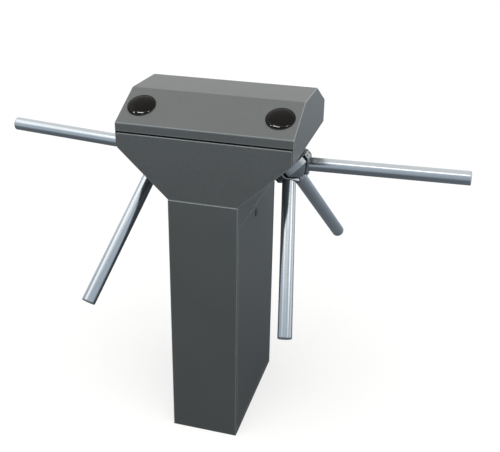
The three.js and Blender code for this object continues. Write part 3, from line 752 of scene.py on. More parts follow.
def black_enamel(colours):
    # Stoved black enamel: semi-gloss, with a faint orange peel
    return even_finish("black_enamel", colours.enamel, blotch=(28 * MM, 4), tone=(0.9, 1.2),
                       roughness=(0.26, 0.40), grain=(3 * MM,), relief=(0.04 * MM, 0.5))


def moulded_plastic(colours):
    # Black ABS from a spark-eroded mould: matt, with a fine regular grain
    return even_finish("moulded_plastic", colours.plastic, blotch=(18 * MM, 3), tone=(0.92, 1.15),
                       roughness=(0.42, 0.55), grain=(0.7 * MM, 3), relief=(0.06 * MM, 0.6), IOR=1.53)


def acrylic_window(colours):
    # Cast black acrylic, flame polished: mirror gloss with a trace of haze
    return even_finish("acrylic_window", colours.window, blotch=(14 * MM, 3), tone=(0.9, 1.1),
                       roughness=(0.03, 0.07), grain=(14 * MM, 3), relief=(0.01 * MM, 0.3),
                       IOR=1.49, Specular_IOR_Level=0.1)


def circuit_board(colours):
    # Green solder mask over copper: straight tracks show as a paler relief
    material, tree, where = new_material("circuit_board")
    tracks = add_node(tree, "ShaderNodeTexBrick", {"offset": 0.5, "squash": 1.0}, {
        "Vector": add_node(tree, "ShaderNodeMapping", inputs={
            "Vector": where, "Rotation": (math.pi / 2, 0, math.pi / 2)}).outputs["Vector"],
        "Scale": 1.0, "Mortar Size": 0.5 * MM, "Mortar Smooth": 0.3,
        "Brick Width": 11 * MM, "Row Height": 3.4 * MM,
    }).outputs["Fac"]
    dust = pattern(tree, where, 20 * MM, detail=3.0)
    add_surface(tree,
                Base_Color=shaded(tree, tuple(colours.mask), ranged(tree, tracks, 0.9, 1.35, 0, 1)),
                Roughness=ranged(tree, dust, 0.28, 0.42),
                Normal=raised(tree, tracks, 0.05 * MM, 0.7))
    return material


def pale_floor(colours):
    # Pale matt floor: seen and mirrored as near white, while it lights the object like a mid grey
    material, tree, where = new_material("pale_floor")
    mottle = pattern(tree, where, 300 * MM, detail=3.0)
    add_surface(tree,
                Base_Color=shaded(tree, tuple(colours.floor), ranged(tree, mottle, 0.995, 1.005)),
                Roughness=0.8,
                Specular_IOR_Level=0.0,
                Emission_Color=(1, 1, 1, 1),
                Emission_Strength=times(tree, seen_directly(tree), 0.62))
    return material


def seen_directly(tree):
    """1 for what the camera sees, also in a mirror or through glass, and 0 for what lights the object."""
    path = add_node(tree, "ShaderNodeLightPath")
    seen = path.outputs["Is Camera Ray"]
    for ray in ("Is Glossy Ray", "Is Transmission Ray"):
        either = add_node(tree, "ShaderNodeMath", {"operation": "MAXIMUM"}, {0: seen, 1: path.outputs[ray]})
        seen = either.outputs[0]
    return seen


def grey_mat(colours):
    # Grey mat that only reflections show. It glows with painted shade, darkest under the object and to its left,
    # and paler further out
    material, tree, where = new_material("grey_mat")
    # Painted shade: the cool-tinted glow grows with distance from a point beside the object
    middle = add_node(tree, "ShaderNodeMapping", inputs={"Vector": where, "Location": (0.4, 0.45, 0)})
    distance = add_node(tree, "ShaderNodeVectorMath", {"operation": "LENGTH"}, {0: middle.outputs["Vector"]})
    add_surface(tree,
                Base_Color=tuple(colours.mat),
                Roughness=0.9,
                Specular_IOR_Level=0.0,
                Emission_Color=(0.88, 0.98, 1.1, 1),
                Emission_Strength=ranged(tree, distance.outputs["Value"], 0.12, 0.64, 0.8, 5.2))
    return material


FINISHES = {
    "satin_paint": powder_coated_steel,
    "polished_steel": polished_stainless,
    "cast_alloy": blasted_alloy,
    "machined_steel": machined_steel,
    "galvanised_steel": galvanised_steel,
    "black_enamel": black_enamel,
    "black_plastic": moulded_plastic,
    "black_gloss_window": acrylic_window,
    "circuit_board": circuit_board,
    "floor": pale_floor,
    "mat": grey_mat,
}


def finish_of(slot):
    """The material of a slot, made when it is first asked for."""
    found = bpy.data.materials.get(FINISHES[slot].__name__)
    return found or FINISHES[slot](bpy.context.scene.turnstile_colours)


# Cabinet

class TURNSTILE_OT_column(bpy.types.Operator):
    """Column of folded sheet, and the door frame welded into its right side"""

    bl_idname = "turnstile.column"
    bl_label = "Column"

    def execute(self, context):
        sizes = context.scene.turnstile_cabinet
        door = context.scene.turnstile_door
        shell = add_box("column_sheet", COLUMN_LOW, COLUMN_HIGH)
        bevel_edges(shell, edges_along(UP), sizes.fold)
        top = COLUMN_HIGH.z
        bevel_edges(shell, sharp_edges(above(top - MM)), sizes.step_edge, segments=3)
        wall = Vector((sizes.sheet,) * 3)
        inside = add_box("inside", COLUMN_LOW + wall - 3 * sizes.sheet * UP, COLUMN_HIGH - wall)
        bevel_edges(inside, edges_along(UP), sizes.fold - sizes.sheet)
        cut(shell, inside, column_throat(sizes), add_box("doorway", *doorway(door)))
        break_edges(shell, sizes.edge)
        finish_piece(shell, "cabinet", "satin_paint", "column_shell")

        finish_piece(make_frame(sizes, door), "cabinet", "satin_paint", "column_shell")
        return {"FINISHED"}


def make_frame(sizes, door):
    """A tray with a border for the door to shut against, and slots in its sill for the hooks."""
    low, high = doorway(door)
    sheet, seat = sizes.sheet, door.seat
    back = COLUMN_HIGH.x - door.depth - seat - sheet
    tray = add_box("door_frame", (back, low.y - sheet, low.z - sheet),
                   (COLUMN_HIGH.x - sheet - seat / 3, high.y + sheet, high.z + sheet))
    hollow = add_box("hollow", (back + sheet, low.y + MM / 50, low.z + MM / 50),
                     (COLUMN_HIGH.x + sheet, high.y - MM / 50, high.z - MM / 50))
    opening = add_box("opening", (back - sheet, low.y + door.flange, low.z + door.flange),
                      (back + 2 * sheet, high.y - door.flange, high.z - door.flange))
    bevel_edges(opening, edges_along((1, 0, 0)), 6 * MM)
    cut(tray, hollow, opening)
    x = COLUMN_HIGH.x - door.depth + 2 * sheet
    for end in (-1, 1):
        half = door.hook_width / 2 + door.gap
        middle = end * door.hook_offset
        cut(tray, add_box("slot", (x - door.gap, middle - half, low.z - 4 * sheet),
                          (x + sheet + door.gap, middle + half, low.z + 2 * sheet)))
    break_edges(tray, sizes.edge)
    return tray


def column_throat(sizes):
    """The passage between column and head, inside their lips."""
    lip = Vector((sizes.column_lip, sizes.column_lip, 0))
    reach = 4 * sizes.sheet * UP
    top = COLUMN_HIGH.z * UP
    return add_box("throat", COLUMN_LOW + lip + top - reach, COLUMN_HIGH - lip + reach)


def doorway(door):
    """Lowest and highest corner of the opening that the door closes."""
    reach = 6 * MM
    low = Vector((COLUMN_HIGH.x - reach, DOOR_LOW.y - door.gap, DOOR_LOW.z + door.hook_drop))
    high = Vector((COLUMN_HIGH.x + reach, DOOR_HIGH.y + door.gap, DOOR_HIGH.z + door.gap))
    return low, high


class TURNSTILE_OT_head(bpy.types.Operator):
    """Head case that flares out from the column, with a hole for each barrier's axle"""

    bl_idname = "turnstile.head"
    bl_label = "Head case"

    def execute(self, context):
        sizes = context.scene.turnstile_cabinet
        case = make_flared(sizes, 0)
        top = HEAD_HIGH.z
        bevel_edges(case, sharp_edges(above(top - MM)), sizes.step_edge, segments=3)
        lip = Vector((sizes.case_lip, sizes.case_lip, 0))
        reach = 4 * sizes.sheet * UP
        mouth = add_box("mouth", HEAD_LOW + lip + (top - HEAD_LOW.z) * UP - reach, HEAD_HIGH - lip + reach)
        cut(case, make_flared(sizes, sizes.sheet), mouth, column_throat(sizes))
        for side in ("right", "left"):
            hole = add_rod("axle_hole", sizes.axle_hole, -8 * MM, 8 * MM)
            cut(case, place(hole, barrier_matrix(side)))
        break_edges(case, sizes.edge)
        finish_piece(case, "cabinet", "satin_paint", "head_case")
        return {"FINISHED"}


def make_flared(sizes, inset):
    """The flared solid, with every side moved in by the inset."""
    wall = Vector((inset,) * 3)
    solid = add_box("head_case_sheet", HEAD_LOW + wall, HEAD_HIGH - wall)
    for side in (-1, 1):
        outward = Vector(JOINTS["right_tripod_turn"]["axis"])
        outward.x *= side
        corner = Vector((side * COLUMN_HIGH.x, 0, HEAD_LOW.z))
        slice_off(solid, corner - outward * inset, outward)
    low, high = HEAD_LOW.z + inset + MM, HEAD_HIGH.z - inset - MM
    bevel_edges(solid, sharp_edges(lambda middle: low < middle.z < high), sizes.fold - inset)
    return solid


class TURNSTILE_OT_lid(bpy.types.Operator):
    """Lid with four bends, end cheeks over the head case and two reader holes"""

    bl_idname = "turnstile.lid"
    bl_label = "Lid"

    def execute(self, context):
        sizes = context.scene.turnstile_cabinet
        panel = make_roof(sizes, 0)
        ends = LID_HIGH.x - NEAR
        bevel_edges(panel, sharp_edges(lambda middle: abs(middle.x) > ends and middle.z > LID_LOW.z + MM),
                    sizes.fold * 0.6, segments=3)
        inner = LID_HIGH.x - sizes.sheet
        under_seam = add_box("under_seam", (-inner, LID_LOW.y - PAST, LID_LOW.z - PAST),
                             (inner, LID_HIGH.y + PAST, sizes.seam))
        cut(panel, make_roof(sizes, sizes.sheet), under_seam)
        reader = context.scene.turnstile_reader
        for side in (-1, 1):
            hole = add_rod("reader_hole", reader.radius - READER_STEP, -PAST, 6 * MM, sides=96)
            cut(panel, place(hole, reader_matrix(side)))
        break_edges(panel, sizes.edge)
        finish_piece(panel, "lid", "satin_paint", "lid")
        return {"FINISHED"}


def make_roof(sizes, inset):
    """The lid's outer form with two slopes, with every side but the lowest moved in by the inset."""
    wall = Vector((inset,) * 3)
    solid = add_box("lid_panel", LID_LOW + wall - 5 * inset * UP, LID_HIGH - wall)
    for side in (-1, 1):
        outward = slope_normal(sizes)
        outward.y *= -side
        foot = Vector((0, side * LID_HIGH.y, sizes.slope_foot))
        slice_off(solid, foot - outward * inset, outward)
    folds = edges_along((1, 0, 0), above(sizes.seam))
    bevel_edges(solid, folds, sizes.lid_fold - inset)
    return solid


def slope_normal(sizes):
    """Outward normal of the lid's front slope."""
    run = LID_HIGH.y - sizes.flat_depth / 2
    rise = LID_HIGH.z - sizes.slope_foot
    return Vector((0, -rise, run)).normalized()


class TURNSTILE_OT_door(bpy.types.Operator):
    """Service door: a folded pan with two ribs and two hooks"""

    bl_idname = "turnstile.door"
    bl_label = "Service door"

    def execute(self, context):
        sizes = context.scene.turnstile_cabinet
        door = context.scene.turnstile_door
        face = COLUMN_HIGH.x
        foot = DOOR_LOW.z + door.hook_drop + door.seat
        back = face - door.depth
        pan = add_box("door_pan", (back, DOOR_LOW.y, foot), (face, DOOR_HIGH.y, DOOR_HIGH.z))
        bevel_edges(pan, edges_along((1, 0, 0)), sizes.sheet / 2, segments=3)
        bevel_edges(pan, sharp_edges(lambda middle: middle.x > face - NEAR), sizes.fold * 0.7, segments=3)
        wall = Vector((sizes.sheet,) * 3)
        depth = Vector((2 * door.depth, 0, 0))
        cut(pan, add_box("inside", Vector((face, DOOR_LOW.y, foot)) + wall - depth, DOOR_HIGH - wall))
        bore = add_rod("bore", door.lock_bore, -6 * MM, 6 * MM)
        cut(pan, place(bore, lock_matrix()))
        break_edges(pan, sizes.edge)
        parts = [pan]
        for end in (-1, 1):
            parts.append(make_rib(sizes, door, end, face, foot))
            parts.append(make_hook(sizes, door, end, back, foot))
        finish_piece(joined("door_pan", *parts), "service_door", "satin_paint", "service_door")
        return {"FINISHED"}


def make_rib(sizes, door, end, face, foot):
    """A folded rib, spot welded inside the pan."""
    middle = end * door.rib_offset
    half = door.rib_width / 2
    below, over = 30 * MM, 70 * MM
    low = Vector((face - sizes.sheet - door.rib_depth, middle - half, foot + below))
    high = Vector((face - sizes.sheet - door.seat / 3, middle + half, DOOR_HIGH.z - over))
    rib = add_box("rib", low, high)
    bevel_edges(rib, edges_along(UP, lambda middle: middle.x < low.x + NEAR), 3 * MM)
    wall = Vector((sizes.sheet, sizes.sheet, 0)) / 2
    reach = Vector((2 * door.depth, 0, 0)) + PAST * UP
    return cut(rib, add_box("inside", low + wall - PAST * UP, high - wall + reach))


def make_hook(sizes, door, end, back, foot):
    """A flat hook that stands in the sill's slot."""
    x = back + 2 * sizes.sheet
    middle = end * door.hook_offset
    half = door.hook_width / 2
    hook = add_box("hook", (x, middle - half, DOOR_LOW.z),
                   (x + sizes.sheet, middle + half, foot + sizes.sheet))
    low = DOOR_LOW.z + MM
    bevel_edges(hook, edges_along((1, 0, 0), lambda middle: middle.z < low), 3 * MM)
    break_edges(hook, sizes.edge)
    return hook


def lock_matrix():
    """Axes of the lock: Z runs inward from the door's face."""
    joint = JOINTS["door_lock_turn"]
    return axes_at(joint["pos_m"], joint["axis"], (0, 1, 0))


class TURNSTILE_OT_lock(bpy.types.Operator):
    """Cam lock: rimmed body with its nut, plug with a key slot, and cam"""

    bl_idname = "turnstile.lock"
    bl_label = "Door lock"

    def execute(self, context):
        lock = context.scene.turnstile_lock
        sizes = context.scene.turnstile_cabinet
        seat = context.scene.turnstile_door.seat
        low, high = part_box("door_lock_body")[0].x, COLUMN_HIGH.x
        end = high - low
        inner = sizes.sheet + seat
        bore = lock.plug_radius + seat
        body = ring("lock_body", [
            (bore, end, 0), (bore, -lock.rim, 0.3 * MM), (lock.rim_radius - 1.2 * MM, -lock.rim, 0.5 * MM),
            (lock.rim_radius, -lock.rim * 0.35, 0.4 * MM), (lock.rim_radius, -seat, 0.1 * MM),
            (lock.body_radius, -seat, 0.05 * MM), (lock.body_radius, end, 0.4 * MM),
        ])
        nut = add_rod("lock_nut", lock.nut_radius, inner, inner + lock.nut, sides=6)
        cut(nut, add_rod("thread", lock.body_radius + 0.05 * MM, 0, inner + 2 * lock.nut))
        break_edges(nut, 0.5 * MM)
        body = joined("lock_body", body, nut)
        plug_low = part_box("door_lock_plug")[0].x
        plug = turned("lock_plug", [
            (0, -lock.rim + lock.plug_recess, 0), (lock.plug_radius, -lock.rim + lock.plug_recess, 0.4 * MM),
            (lock.plug_radius, high - plug_low, 0.4 * MM), (0, high - plug_low, 0),
        ], sides=64)
        key = add_box("key_slot", (-lock.key_length / 2, -lock.key_width / 2, -4 * MM),
                      (lock.key_length / 2, lock.key_width / 2, 7 * MM))
        bevel_edges(key, edges_along(UP), lock.key_width * 0.35, segments=3)
        cut(plug, key)
        cam_low, cam_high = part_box("door_lock_cam")
        start, stop = high - cam_high.x, high - cam_low.x
        cam = fuse(add_rod("lock_cam", lock.cam_width / 2, start, stop),
                   add_box("cam_bar", (-lock.cam_width / 2, -lock.cam_reach, start),
                           (lock.cam_width / 2, 0, stop)))
        bevel_edges(cam, edges_along(UP, lambda middle: middle.y < -lock.cam_width), 2 * MM)
        break_edges(cam, 0.3 * MM)
        for piece, ride, slot, node in (
                (body, "service_door", "black_enamel", "door_lock_body"),
                (plug, "door_lock", "black_enamel", "door_lock_plug"),
                (cam, "door_lock", "machined_steel", "door_lock_cam")):
            finish_piece(place(piece, lock_matrix()), ride, slot, node)
        return {"FINISHED"}


# Readers

READER_STEP = 2 * MM  # How much narrower the readers' holes in the lid are than their rims


def reader_matrix(side):
    """Axes of a reader: Z stands out of the lid's front slope and Y runs up it."""
    sizes = bpy.context.scene.turnstile_cabinet
    reader = bpy.context.scene.turnstile_reader
    normal = slope_normal(sizes)
    up_slope = normal.cross(Vector((1, 0, 0)))
    foot = Vector((side * reader.offset, LID_LOW.y, sizes.slope_foot))
    return axes_at(foot + up_slope * reader.up_slope, normal, up_slope)


class TURNSTILE_OT_readers(bpy.types.Operator):
    """Two round readers: a thin rim, a domed black window and the unit under it"""

    bl_idname = "turnstile.readers"
    bl_label = "Readers"

    def execute(self, context):
        reader = context.scene.turnstile_reader
        seat = context.scene.turnstile_door.seat
        collar = reader.radius - READER_STEP - seat
        bore = reader.radius - reader.wall
        rim = ring("reader_rim", [
            (bore, -reader.under, 0), (collar, -reader.under, 0.3 * MM), (collar, seat, 0.1 * MM),
            (reader.radius, seat, 0.2 * MM), (reader.radius - 0.5 * MM, reader.rise, 0.8 * MM),
            (bore, reader.rise, 0.5 * MM),
        ], sides=128)
        pane_radius = bore - seat
        steps = 20
        quarter = [i / steps * math.pi / 2 for i in range(steps)]
        dome = [(pane_radius * math.cos(turn), reader.crown * math.sin(turn)) for turn in quarter]
        window = spun("domed_window", [(0, -reader.under), (pane_radius, -reader.under), *dome,
                                       (0, reader.crown)], sides=128)
        top = -reader.under - seat
        step = reader.unit_radius - 6 * MM
        unit = turned("sensing_unit", [
            (0, top - reader.unit_depth, 0), (step, top - reader.unit_depth, 1 * MM),
            (step, top - reader.unit_depth * 0.8, 1 * MM),
            (reader.unit_radius, top - reader.unit_depth * 0.8, 2 * MM),
            (reader.unit_radius, top - 2 * MM, 0.5 * MM), (collar, top - 2 * MM, 0.4 * MM),
            (collar, top, 0.4 * MM), (0, top, 0),
        ])
        for name, side in (("right", 1), ("left", -1)):
            matrix = reader_matrix(side)
            for piece, slot, part in ((rim, "black_plastic", "bezel"), (window, "black_gloss_window", "window"),
                                      (unit, "black_plastic", "unit")):
                finish_piece(copied(piece, f"{name}_{piece.name}", matrix), "lid", slot,
                             f"{name}_reader_{part}")
        remove(rim, window, unit)
        return {"FINISHED"}


# Barriers

def barrier_matrix(side):
    """Axes of a barrier: Z runs out along its axle from the head's slanted skin."""
    joint = JOINTS[f"{side}_tripod_turn"]
    return axes_at(joint["pos_m"], joint["axis"], (0, -1 if side == "right" else 1, 0))


class TURNSTILE_OT_barriers(bpy.types.Operator):
    """Two tripod barriers: hub, hub cap, and three arms on root blocks"""

    bl_idname = "turnstile.barriers"
    bl_label = "Tripod barriers"

    def execute(self, context):
        sizes = context.scene.turnstile_barrier
        seat = context.scene.turnstile_door.seat
        hub = make_hub(sizes)
        cap = make_hub_cap(sizes, seat)
        along = Matrix.Translation((0, 0, sizes.apex)) @ Matrix.Rotation(sizes.cone, 4, "Y")
        tube = place(make_tube(sizes, seat), along)
        end_cap = place(make_end_cap(sizes, seat), along)
        root = make_root(sizes, seat, along)
        for side, arms in (("right", ("level", "front", "rear")), ("left", ("level", "rear", "front"))):
            body = f"{side}_tripod"
            head = barrier_matrix(side) @ Matrix.Rotation(sizes.rest_turn, 4, "Z")
            finish_piece(copied(hub, f"{side}_hub_casting", head), body, "cast_alloy", f"{side}_hub")
            finish_piece(copied(cap, f"{side}_nose_cap", head), body, "black_plastic", f"{side}_hub_cap")
            for index, arm in enumerate(arms):
                matrix = head @ Matrix.Rotation(index * math.tau / len(arms), 4, "Z")
                name = f"{side}_{arm}_arm"
                for piece, slot, part in ((root, "cast_alloy", "root"), (tube, "polished_steel", "tube"),
                                          (end_cap, "polished_steel", "end_cap")):
                    finish_piece(copied(piece, f"{name}_{piece.name}", matrix), body, slot,
                                 f"{name}_{part}")
        remove(hub, cap, tube, end_cap, root)
        return {"FINISHED"}


def make_hub(sizes):
    """A turned cone with a stout rim, cut by three slots round a boss."""
    nose_radius = sizes.rim_radius - (sizes.nose - sizes.rim_top)
    pocket = sizes.nose - sizes.cap_depth
    cone = ring("hub", [
        (sizes.bore, pocket, 0), (sizes.bore, sizes.back, 0.5 * MM),
        (sizes.back_radius, sizes.back, 1.5 * MM), (sizes.rim_radius, sizes.disc_top, 2 * MM),
        (sizes.rim_radius, sizes.rim_top, 3 * MM), (nose_radius, sizes.nose, 1 * MM),
        (sizes.cap_radius, sizes.nose, 0.6 * MM), (sizes.cap_radius, pocket, 0.3 * MM),
    ], sides=120)
    for index in range(3):
        slot = add_box("slot", (0, -sizes.slot_width / 2, sizes.disc_top),
                       (sizes.rim_radius + PAST, sizes.slot_width / 2, sizes.nose + PAST))
        cut(cone, place(slot, Matrix.Rotation(index * math.tau / 3, 4, "Z")))
    foot = sizes.disc_top - 2 * MM
    boss = ring("boss", [
        (sizes.bore, pocket, 0), (sizes.bore, foot, 0), (sizes.boss_radius + 1.5 * MM, foot, 0),
        (sizes.boss_radius, sizes.disc_top + 1.5 * MM, 1 * MM), (sizes.boss_radius, sizes.nose, 1 * MM),
        (sizes.cap_radius, sizes.nose, 0.6 * MM), (sizes.cap_radius, pocket, 0.3 * MM),
    ], sides=120)
    fuse(cone, boss)
    break_edges(cone, 0.7 * MM, limit=40)
    return cone


def make_hub_cap(sizes, seat):
    """A low domed cap in the hub's nose."""
    radius = sizes.cap_radius - seat
    foot, top = sizes.nose - sizes.cap_depth + seat, sizes.nose + 2 * MM
    return turned("cap", [
        (0, foot, 0), (radius, foot, 0.3 * MM), (radius, sizes.nose + 0.8 * MM, 1 * MM),
        (radius * 0.55, top, 8 * MM), (0, top, 0),
    ], sides=72)


def make_root(sizes, seat, along):
    """The block that an arm stands on: bolted to the hub, its face square to the arm."""
    block = add_box("block", (sizes.boss_radius + seat, -sizes.root_width / 2, sizes.disc_top + seat),
                    (sizes.root_outer, sizes.root_width / 2, sizes.nose))
    face = along @ Vector((0, 0, sizes.shoulder))
    outward = along.to_3x3() @ UP
    slice_off(block, face, outward)
    top = (along @ Vector((-sizes.root_width / 2, 0, sizes.shoulder))).z
    slice_off(block, (0, 0, top), UP)
    bevel_edges(block, sharp_edges(), 2.2 * MM)
    spigot_radius = sizes.arm_radius - sizes.arm_wall - seat
    spigot = add_rod("spigot", spigot_radius, sizes.shoulder - 6 * MM, sizes.shoulder + sizes.spigot)
    fuse(block, place(spigot, along))
    spots = [axes_at((sizes.root_outer - MM / 5, y * sizes.root_width, sizes.disc_top + 8.4 * MM),
                     (1, 0, 0), (0, 1, 0)) for y in (-0.27, 0.27)]
    return joined("root_block", block, screws_at("root_screws", spots))


def make_tube(sizes, seat):
    """The arm's tube, along Z from where the arms' axes meet."""
    outer = sizes.arm_radius
    inner = outer - sizes.arm_wall
    start = sizes.shoulder + seat
    end = sizes.reach - sizes.cap_flange - seat
    return ring("polished_tube", [
        (inner, end, 0), (inner, start, 0.3 * MM), (outer, start, 0.5 * MM), (outer, end, 0.2 * MM),
    ])


def make_end_cap(sizes, seat):
    """The arm's closed end, with a rounded edge and a plug inside the tube."""
    plug = sizes.arm_radius - sizes.arm_wall - seat
    start = sizes.reach - sizes.cap_flange
    foot = start - 14 * MM
    return turned("cap_end", [
        (0, foot, 0), (plug, foot, 1 * MM), (plug, start, 0.05 * MM),
        (sizes.arm_radius, start, 0.05 * MM), (sizes.arm_radius, sizes.reach, sizes.arm_end * 0.95),
        (0, sizes.reach, 0),
    ], steps=6)


# Radius and height of the round screw heads, by the piece that they belong to
SCREW_HEADS = {
    "root_screws": (3.2 * MM, 1.6 * MM),
    "brake_screws": (2.4 * MM, 1.4 * MM),
    "carrier_screws": (4.2 * MM, 2.4 * MM),
    "motor_screws": (1.5 * MM, 1 * MM),
    "supply_screws": (3.6 * MM, 2 * MM),
    "board_screws": (2.8 * MM, 1.6 * MM),
}


def socket_screw(name, radius, height):
    """A round screw head with a hexagon socket, standing on Z = 0."""
    head = turned(name, [
        (0, -height, 0), (radius, -height, 0), (radius, height, radius * 0.12), (0, height, 0),
    ], sides=24, steps=2)
    cut(head, add_rod("socket", radius * 0.58, height * 0.2, height * 2, sides=6))
    return head


def screws_at(name, spots):
    """Like socket screws on the given places, as one piece."""
    return repeated(name, socket_screw(name, *SCREW_HEADS[name]), spots)


# Drives

def to_motor(sizes):
    """From the axle's axis to the motor's."""
    return Matrix.Translation((0, sizes.offset, 0))


def turned_about(radius, degrees, height, axis=UP):
    """Axes of something that stands on a circle round Z, pointing along the axis."""
    turn = math.radians(degrees)
    return axes_at((radius * math.cos(turn), radius * math.sin(turn), height), axis, (0, 1, 0))


def from_solid(node, name, matrix):
    """A merged copy of a CAD node's mesh, moved by the matrix."""
    piece = bpy.data.objects.new(name, NODES[node].data.copy())
    bpy.context.scene.collection.objects.link(piece)
    edit(piece, "faces")
    bpy.ops.mesh.remove_doubles(threshold=MM / 100)
    bpy.ops.mesh.dissolve_limited(angle_limit=math.radians(1))
    leave_edit()
    return place(piece, matrix)


BRAKE_SCREWS = (30, 150, 270)  # Degrees round the axle


class TURNSTILE_OT_drives(bpy.types.Operator):
    """Each barrier's drive: axle, bearings in their carrier, holding brake, gears and geared motor"""

    bl_idname = "turnstile.drives"
    bl_label = "Drives"

    def execute(self, context):
        sizes = context.scene.turnstile_drive
        seat = context.scene.turnstile_door.seat
        coil = sizes.plate_back - seat - sizes.coil
        disc = coil - sizes.air_gap - sizes.disc
        wheel = disc - seat - sizes.gear_width
        parts = (
            (make_axle(sizes, seat, wheel), "tripod", "machined_steel", "main_axle"),
            (make_carrier(sizes, seat), "cabinet", "cast_alloy", "bearing_carrier"),
            (make_carrier_screws(sizes), "cabinet", "machined_steel", "bearing_carrier"),
            (make_bearing("front_ball_race", sizes, seat, sizes.skin - sizes.bearing_width),
             "cabinet", "machined_steel", "outer_bearing"),
            (make_bearing("rear_ball_race", sizes, seat, sizes.plate_back),
             "cabinet", "machined_steel", "inner_bearing"),
            (make_brake_housing(sizes, coil), "cabinet", "black_enamel", "brake_coil"),
            (screws_at("brake_screws", [
                turned_about(sizes.brake_screw_circle, turn, coil + 1.8 * MM, -UP) for turn in BRAKE_SCREWS]),
             "cabinet", "machined_steel", "brake_coil"),
            (make_brake_disc(sizes, seat, disc), "tripod", "machined_steel", "brake_plate"),
            (make_wheel(sizes, seat, wheel), "tripod", "machined_steel", "drive_gear"),
            (make_pinion(sizes, wheel), "pinion", "machined_steel", "motor_pinion"),
            (place(make_motor(sizes, seat), to_motor(sizes)), "cabinet", "black_enamel", "motor"),
            (place(make_motor_socket(sizes, seat), to_motor(sizes)), "cabinet", "black_plastic", "motor"),
            (place(make_motor_screws(sizes, seat), to_motor(sizes)), "cabinet", "machined_steel", "motor"),
        )
        for piece, body, slot, node in parts:
            for side in ("right", "left"):
                ride = body if body == "cabinet" else f"{side}_{body}"
                copy = copied(piece, f"{side}_{piece.name}", barrier_matrix(side))
                finish_piece(copy, ride, slot, f"{side}_{node}")
            remove(piece)
        return {"FINISHED"}


def make_axle(sizes, seat, wheel):
    """A stepped axle with a centre hole, held behind the gear by a retaining ring."""
    start = sizes.plate_back + sizes.bearing_width + 2 * seat
    end = sizes.skin - sizes.bearing_width - 2 * seat
    axle = turned("stepped_axle", [
        (0, sizes.axle_inner + 5 * MM, 0), (2 * MM, sizes.axle_inner + 3 * MM, 0),
        (3.6 * MM, sizes.axle_inner, 0), (sizes.axle_radius, sizes.axle_inner, 1 * MM),
        (sizes.axle_radius, start, 0.4 * MM), (sizes.collar_radius, start, 0.6 * MM),
        (sizes.collar_radius, end, 0.6 * MM), (sizes.axle_radius, end, 0.4 * MM),
        (sizes.axle_radius, sizes.axle_outer, 1 * MM), (0, sizes.axle_outer, 0),
    ], sides=72)
    top = wheel - seat
    inner, outer, width, gap = sizes.axle_radius - MM, sizes.axle_radius + 2.2 * MM, 1.2 * MM, 2.4 * MM
    retainer = ring("retaining_ring", [
        (inner, top - 0.6 * MM, 0), (inner, top - width, 0), (outer, top - width, 0.2 * MM),
        (outer, top, 0.2 * MM), (inner, top, 0),
    ], sides=48)
    cut(retainer, add_box("gap", (0, -gap, top - PAST), (40 * MM, gap, top + PAST)))
    return joined("stepped_axle", axle, retainer)


def make_carrier(sizes, seat):
    """A casting: flange and barrel with four ribs, and a plate that also holds the motor."""
    front = sizes.plate_back + sizes.plate
    flange = sizes.skin - sizes.flange
    bore = sizes.collar_radius + 2 * seat
    foot = front - 2 * MM
    body = ring("carrier_casting", [
        (bore, foot, 0), (sizes.barrel_radius, foot, 0),
        (sizes.barrel_radius, flange, 3 * MM), (sizes.flange_radius, flange, 1.5 * MM),
        (sizes.flange_radius, sizes.skin, 0.6 * MM), (bore, sizes.skin, 0),
    ], sides=120)
    pad = joined("pad", add_rod("wide", sizes.plate_radius, sizes.plate_back, front, sides=96),
                 place(add_rod("narrow", sizes.pad_radius, sizes.plate_back, front, sides=72), to_motor(sizes)))
    edit(pad, "faces")
    bpy.ops.mesh.convex_hull()
    bpy.ops.mesh.dissolve_limited(angle_limit=math.radians(1))
    leave_edit()
    ribs = []
    edge = sizes.flange_radius - 3 * MM
    for turn in (45, 135, 225, 315):
        rib = add_box("rib", (sizes.barrel_radius - 4 * MM, -sizes.rib_width / 2, flange - sizes.rib_reach),
                      (edge, sizes.rib_width / 2, flange + 4 * MM))
        run = edge - sizes.barrel_radius
        slice_off(rib, (sizes.barrel_radius, 0, flange - sizes.rib_reach), Vector((sizes.rib_reach, 0, -run)))
        ribs.append(place(rib, Matrix.Rotation(math.radians(turn), 4, "Z")))
    fuse(body, pad, *ribs)
    seat_radius = sizes.bearing_radius + seat / 2
    hole = place(add_rod("motor_hole", sizes.front_radius + seat, sizes.plate_back - PAST, front + PAST),
                 to_motor(sizes))
    cut(body, hole,
        add_rod("through", bore + seat / 2, sizes.plate_back - PAST, PAST, sides=96),
        add_rod("outer_seat", seat_radius, sizes.skin - sizes.bearing_width - seat, PAST, sides=96),
        add_rod("inner_seat", seat_radius, sizes.plate_back - PAST,
                sizes.plate_back + sizes.bearing_width + seat, sides=96))
    break_edges(body, 0.8 * MM, limit=40)
    return body


def make_carrier_screws(sizes):
    """Four screws that hold the flange on the skin, and three that hold the motor on the plate."""
    flange = sizes.skin - sizes.flange
    spots = [turned_about(sizes.flange_screw_circle, turn, flange, -UP) for turn in (0, 90, 180, 270)]
    spots += [to_motor(sizes) @ turned_about(sizes.motor_screw_circle, turn, sizes.plate_back, -UP)
              for turn in (20, 90, 160)]
    return screws_at("carrier_screws", spots)


def make_bearing(name, sizes, seat, start):
    """A ball bearing: outer race, inner race and a shield recessed between them."""
    bore = sizes.axle_radius + seat
    middle, end = start + sizes.bearing_width / 2, start + sizes.bearing_width
    rings = []
    for low, high, sink, edge in ((bore, bore + 3.6 * MM, 0, 0.6 * MM),
                                  (bore + 3.4 * MM, bore + 9.6 * MM, 0.8 * MM, 0.1 * MM),
                                  (bore + 9.4 * MM, sizes.bearing_radius, 0, 0.6 * MM)):
        rings.append(ring("ring", [
            (low, middle, 0), (low, start + sink, edge), (high, start + sink, edge),
            (high, end - sink, edge), (low, end - sink, edge),
        ], steps=3))
    return joined(name, *rings)


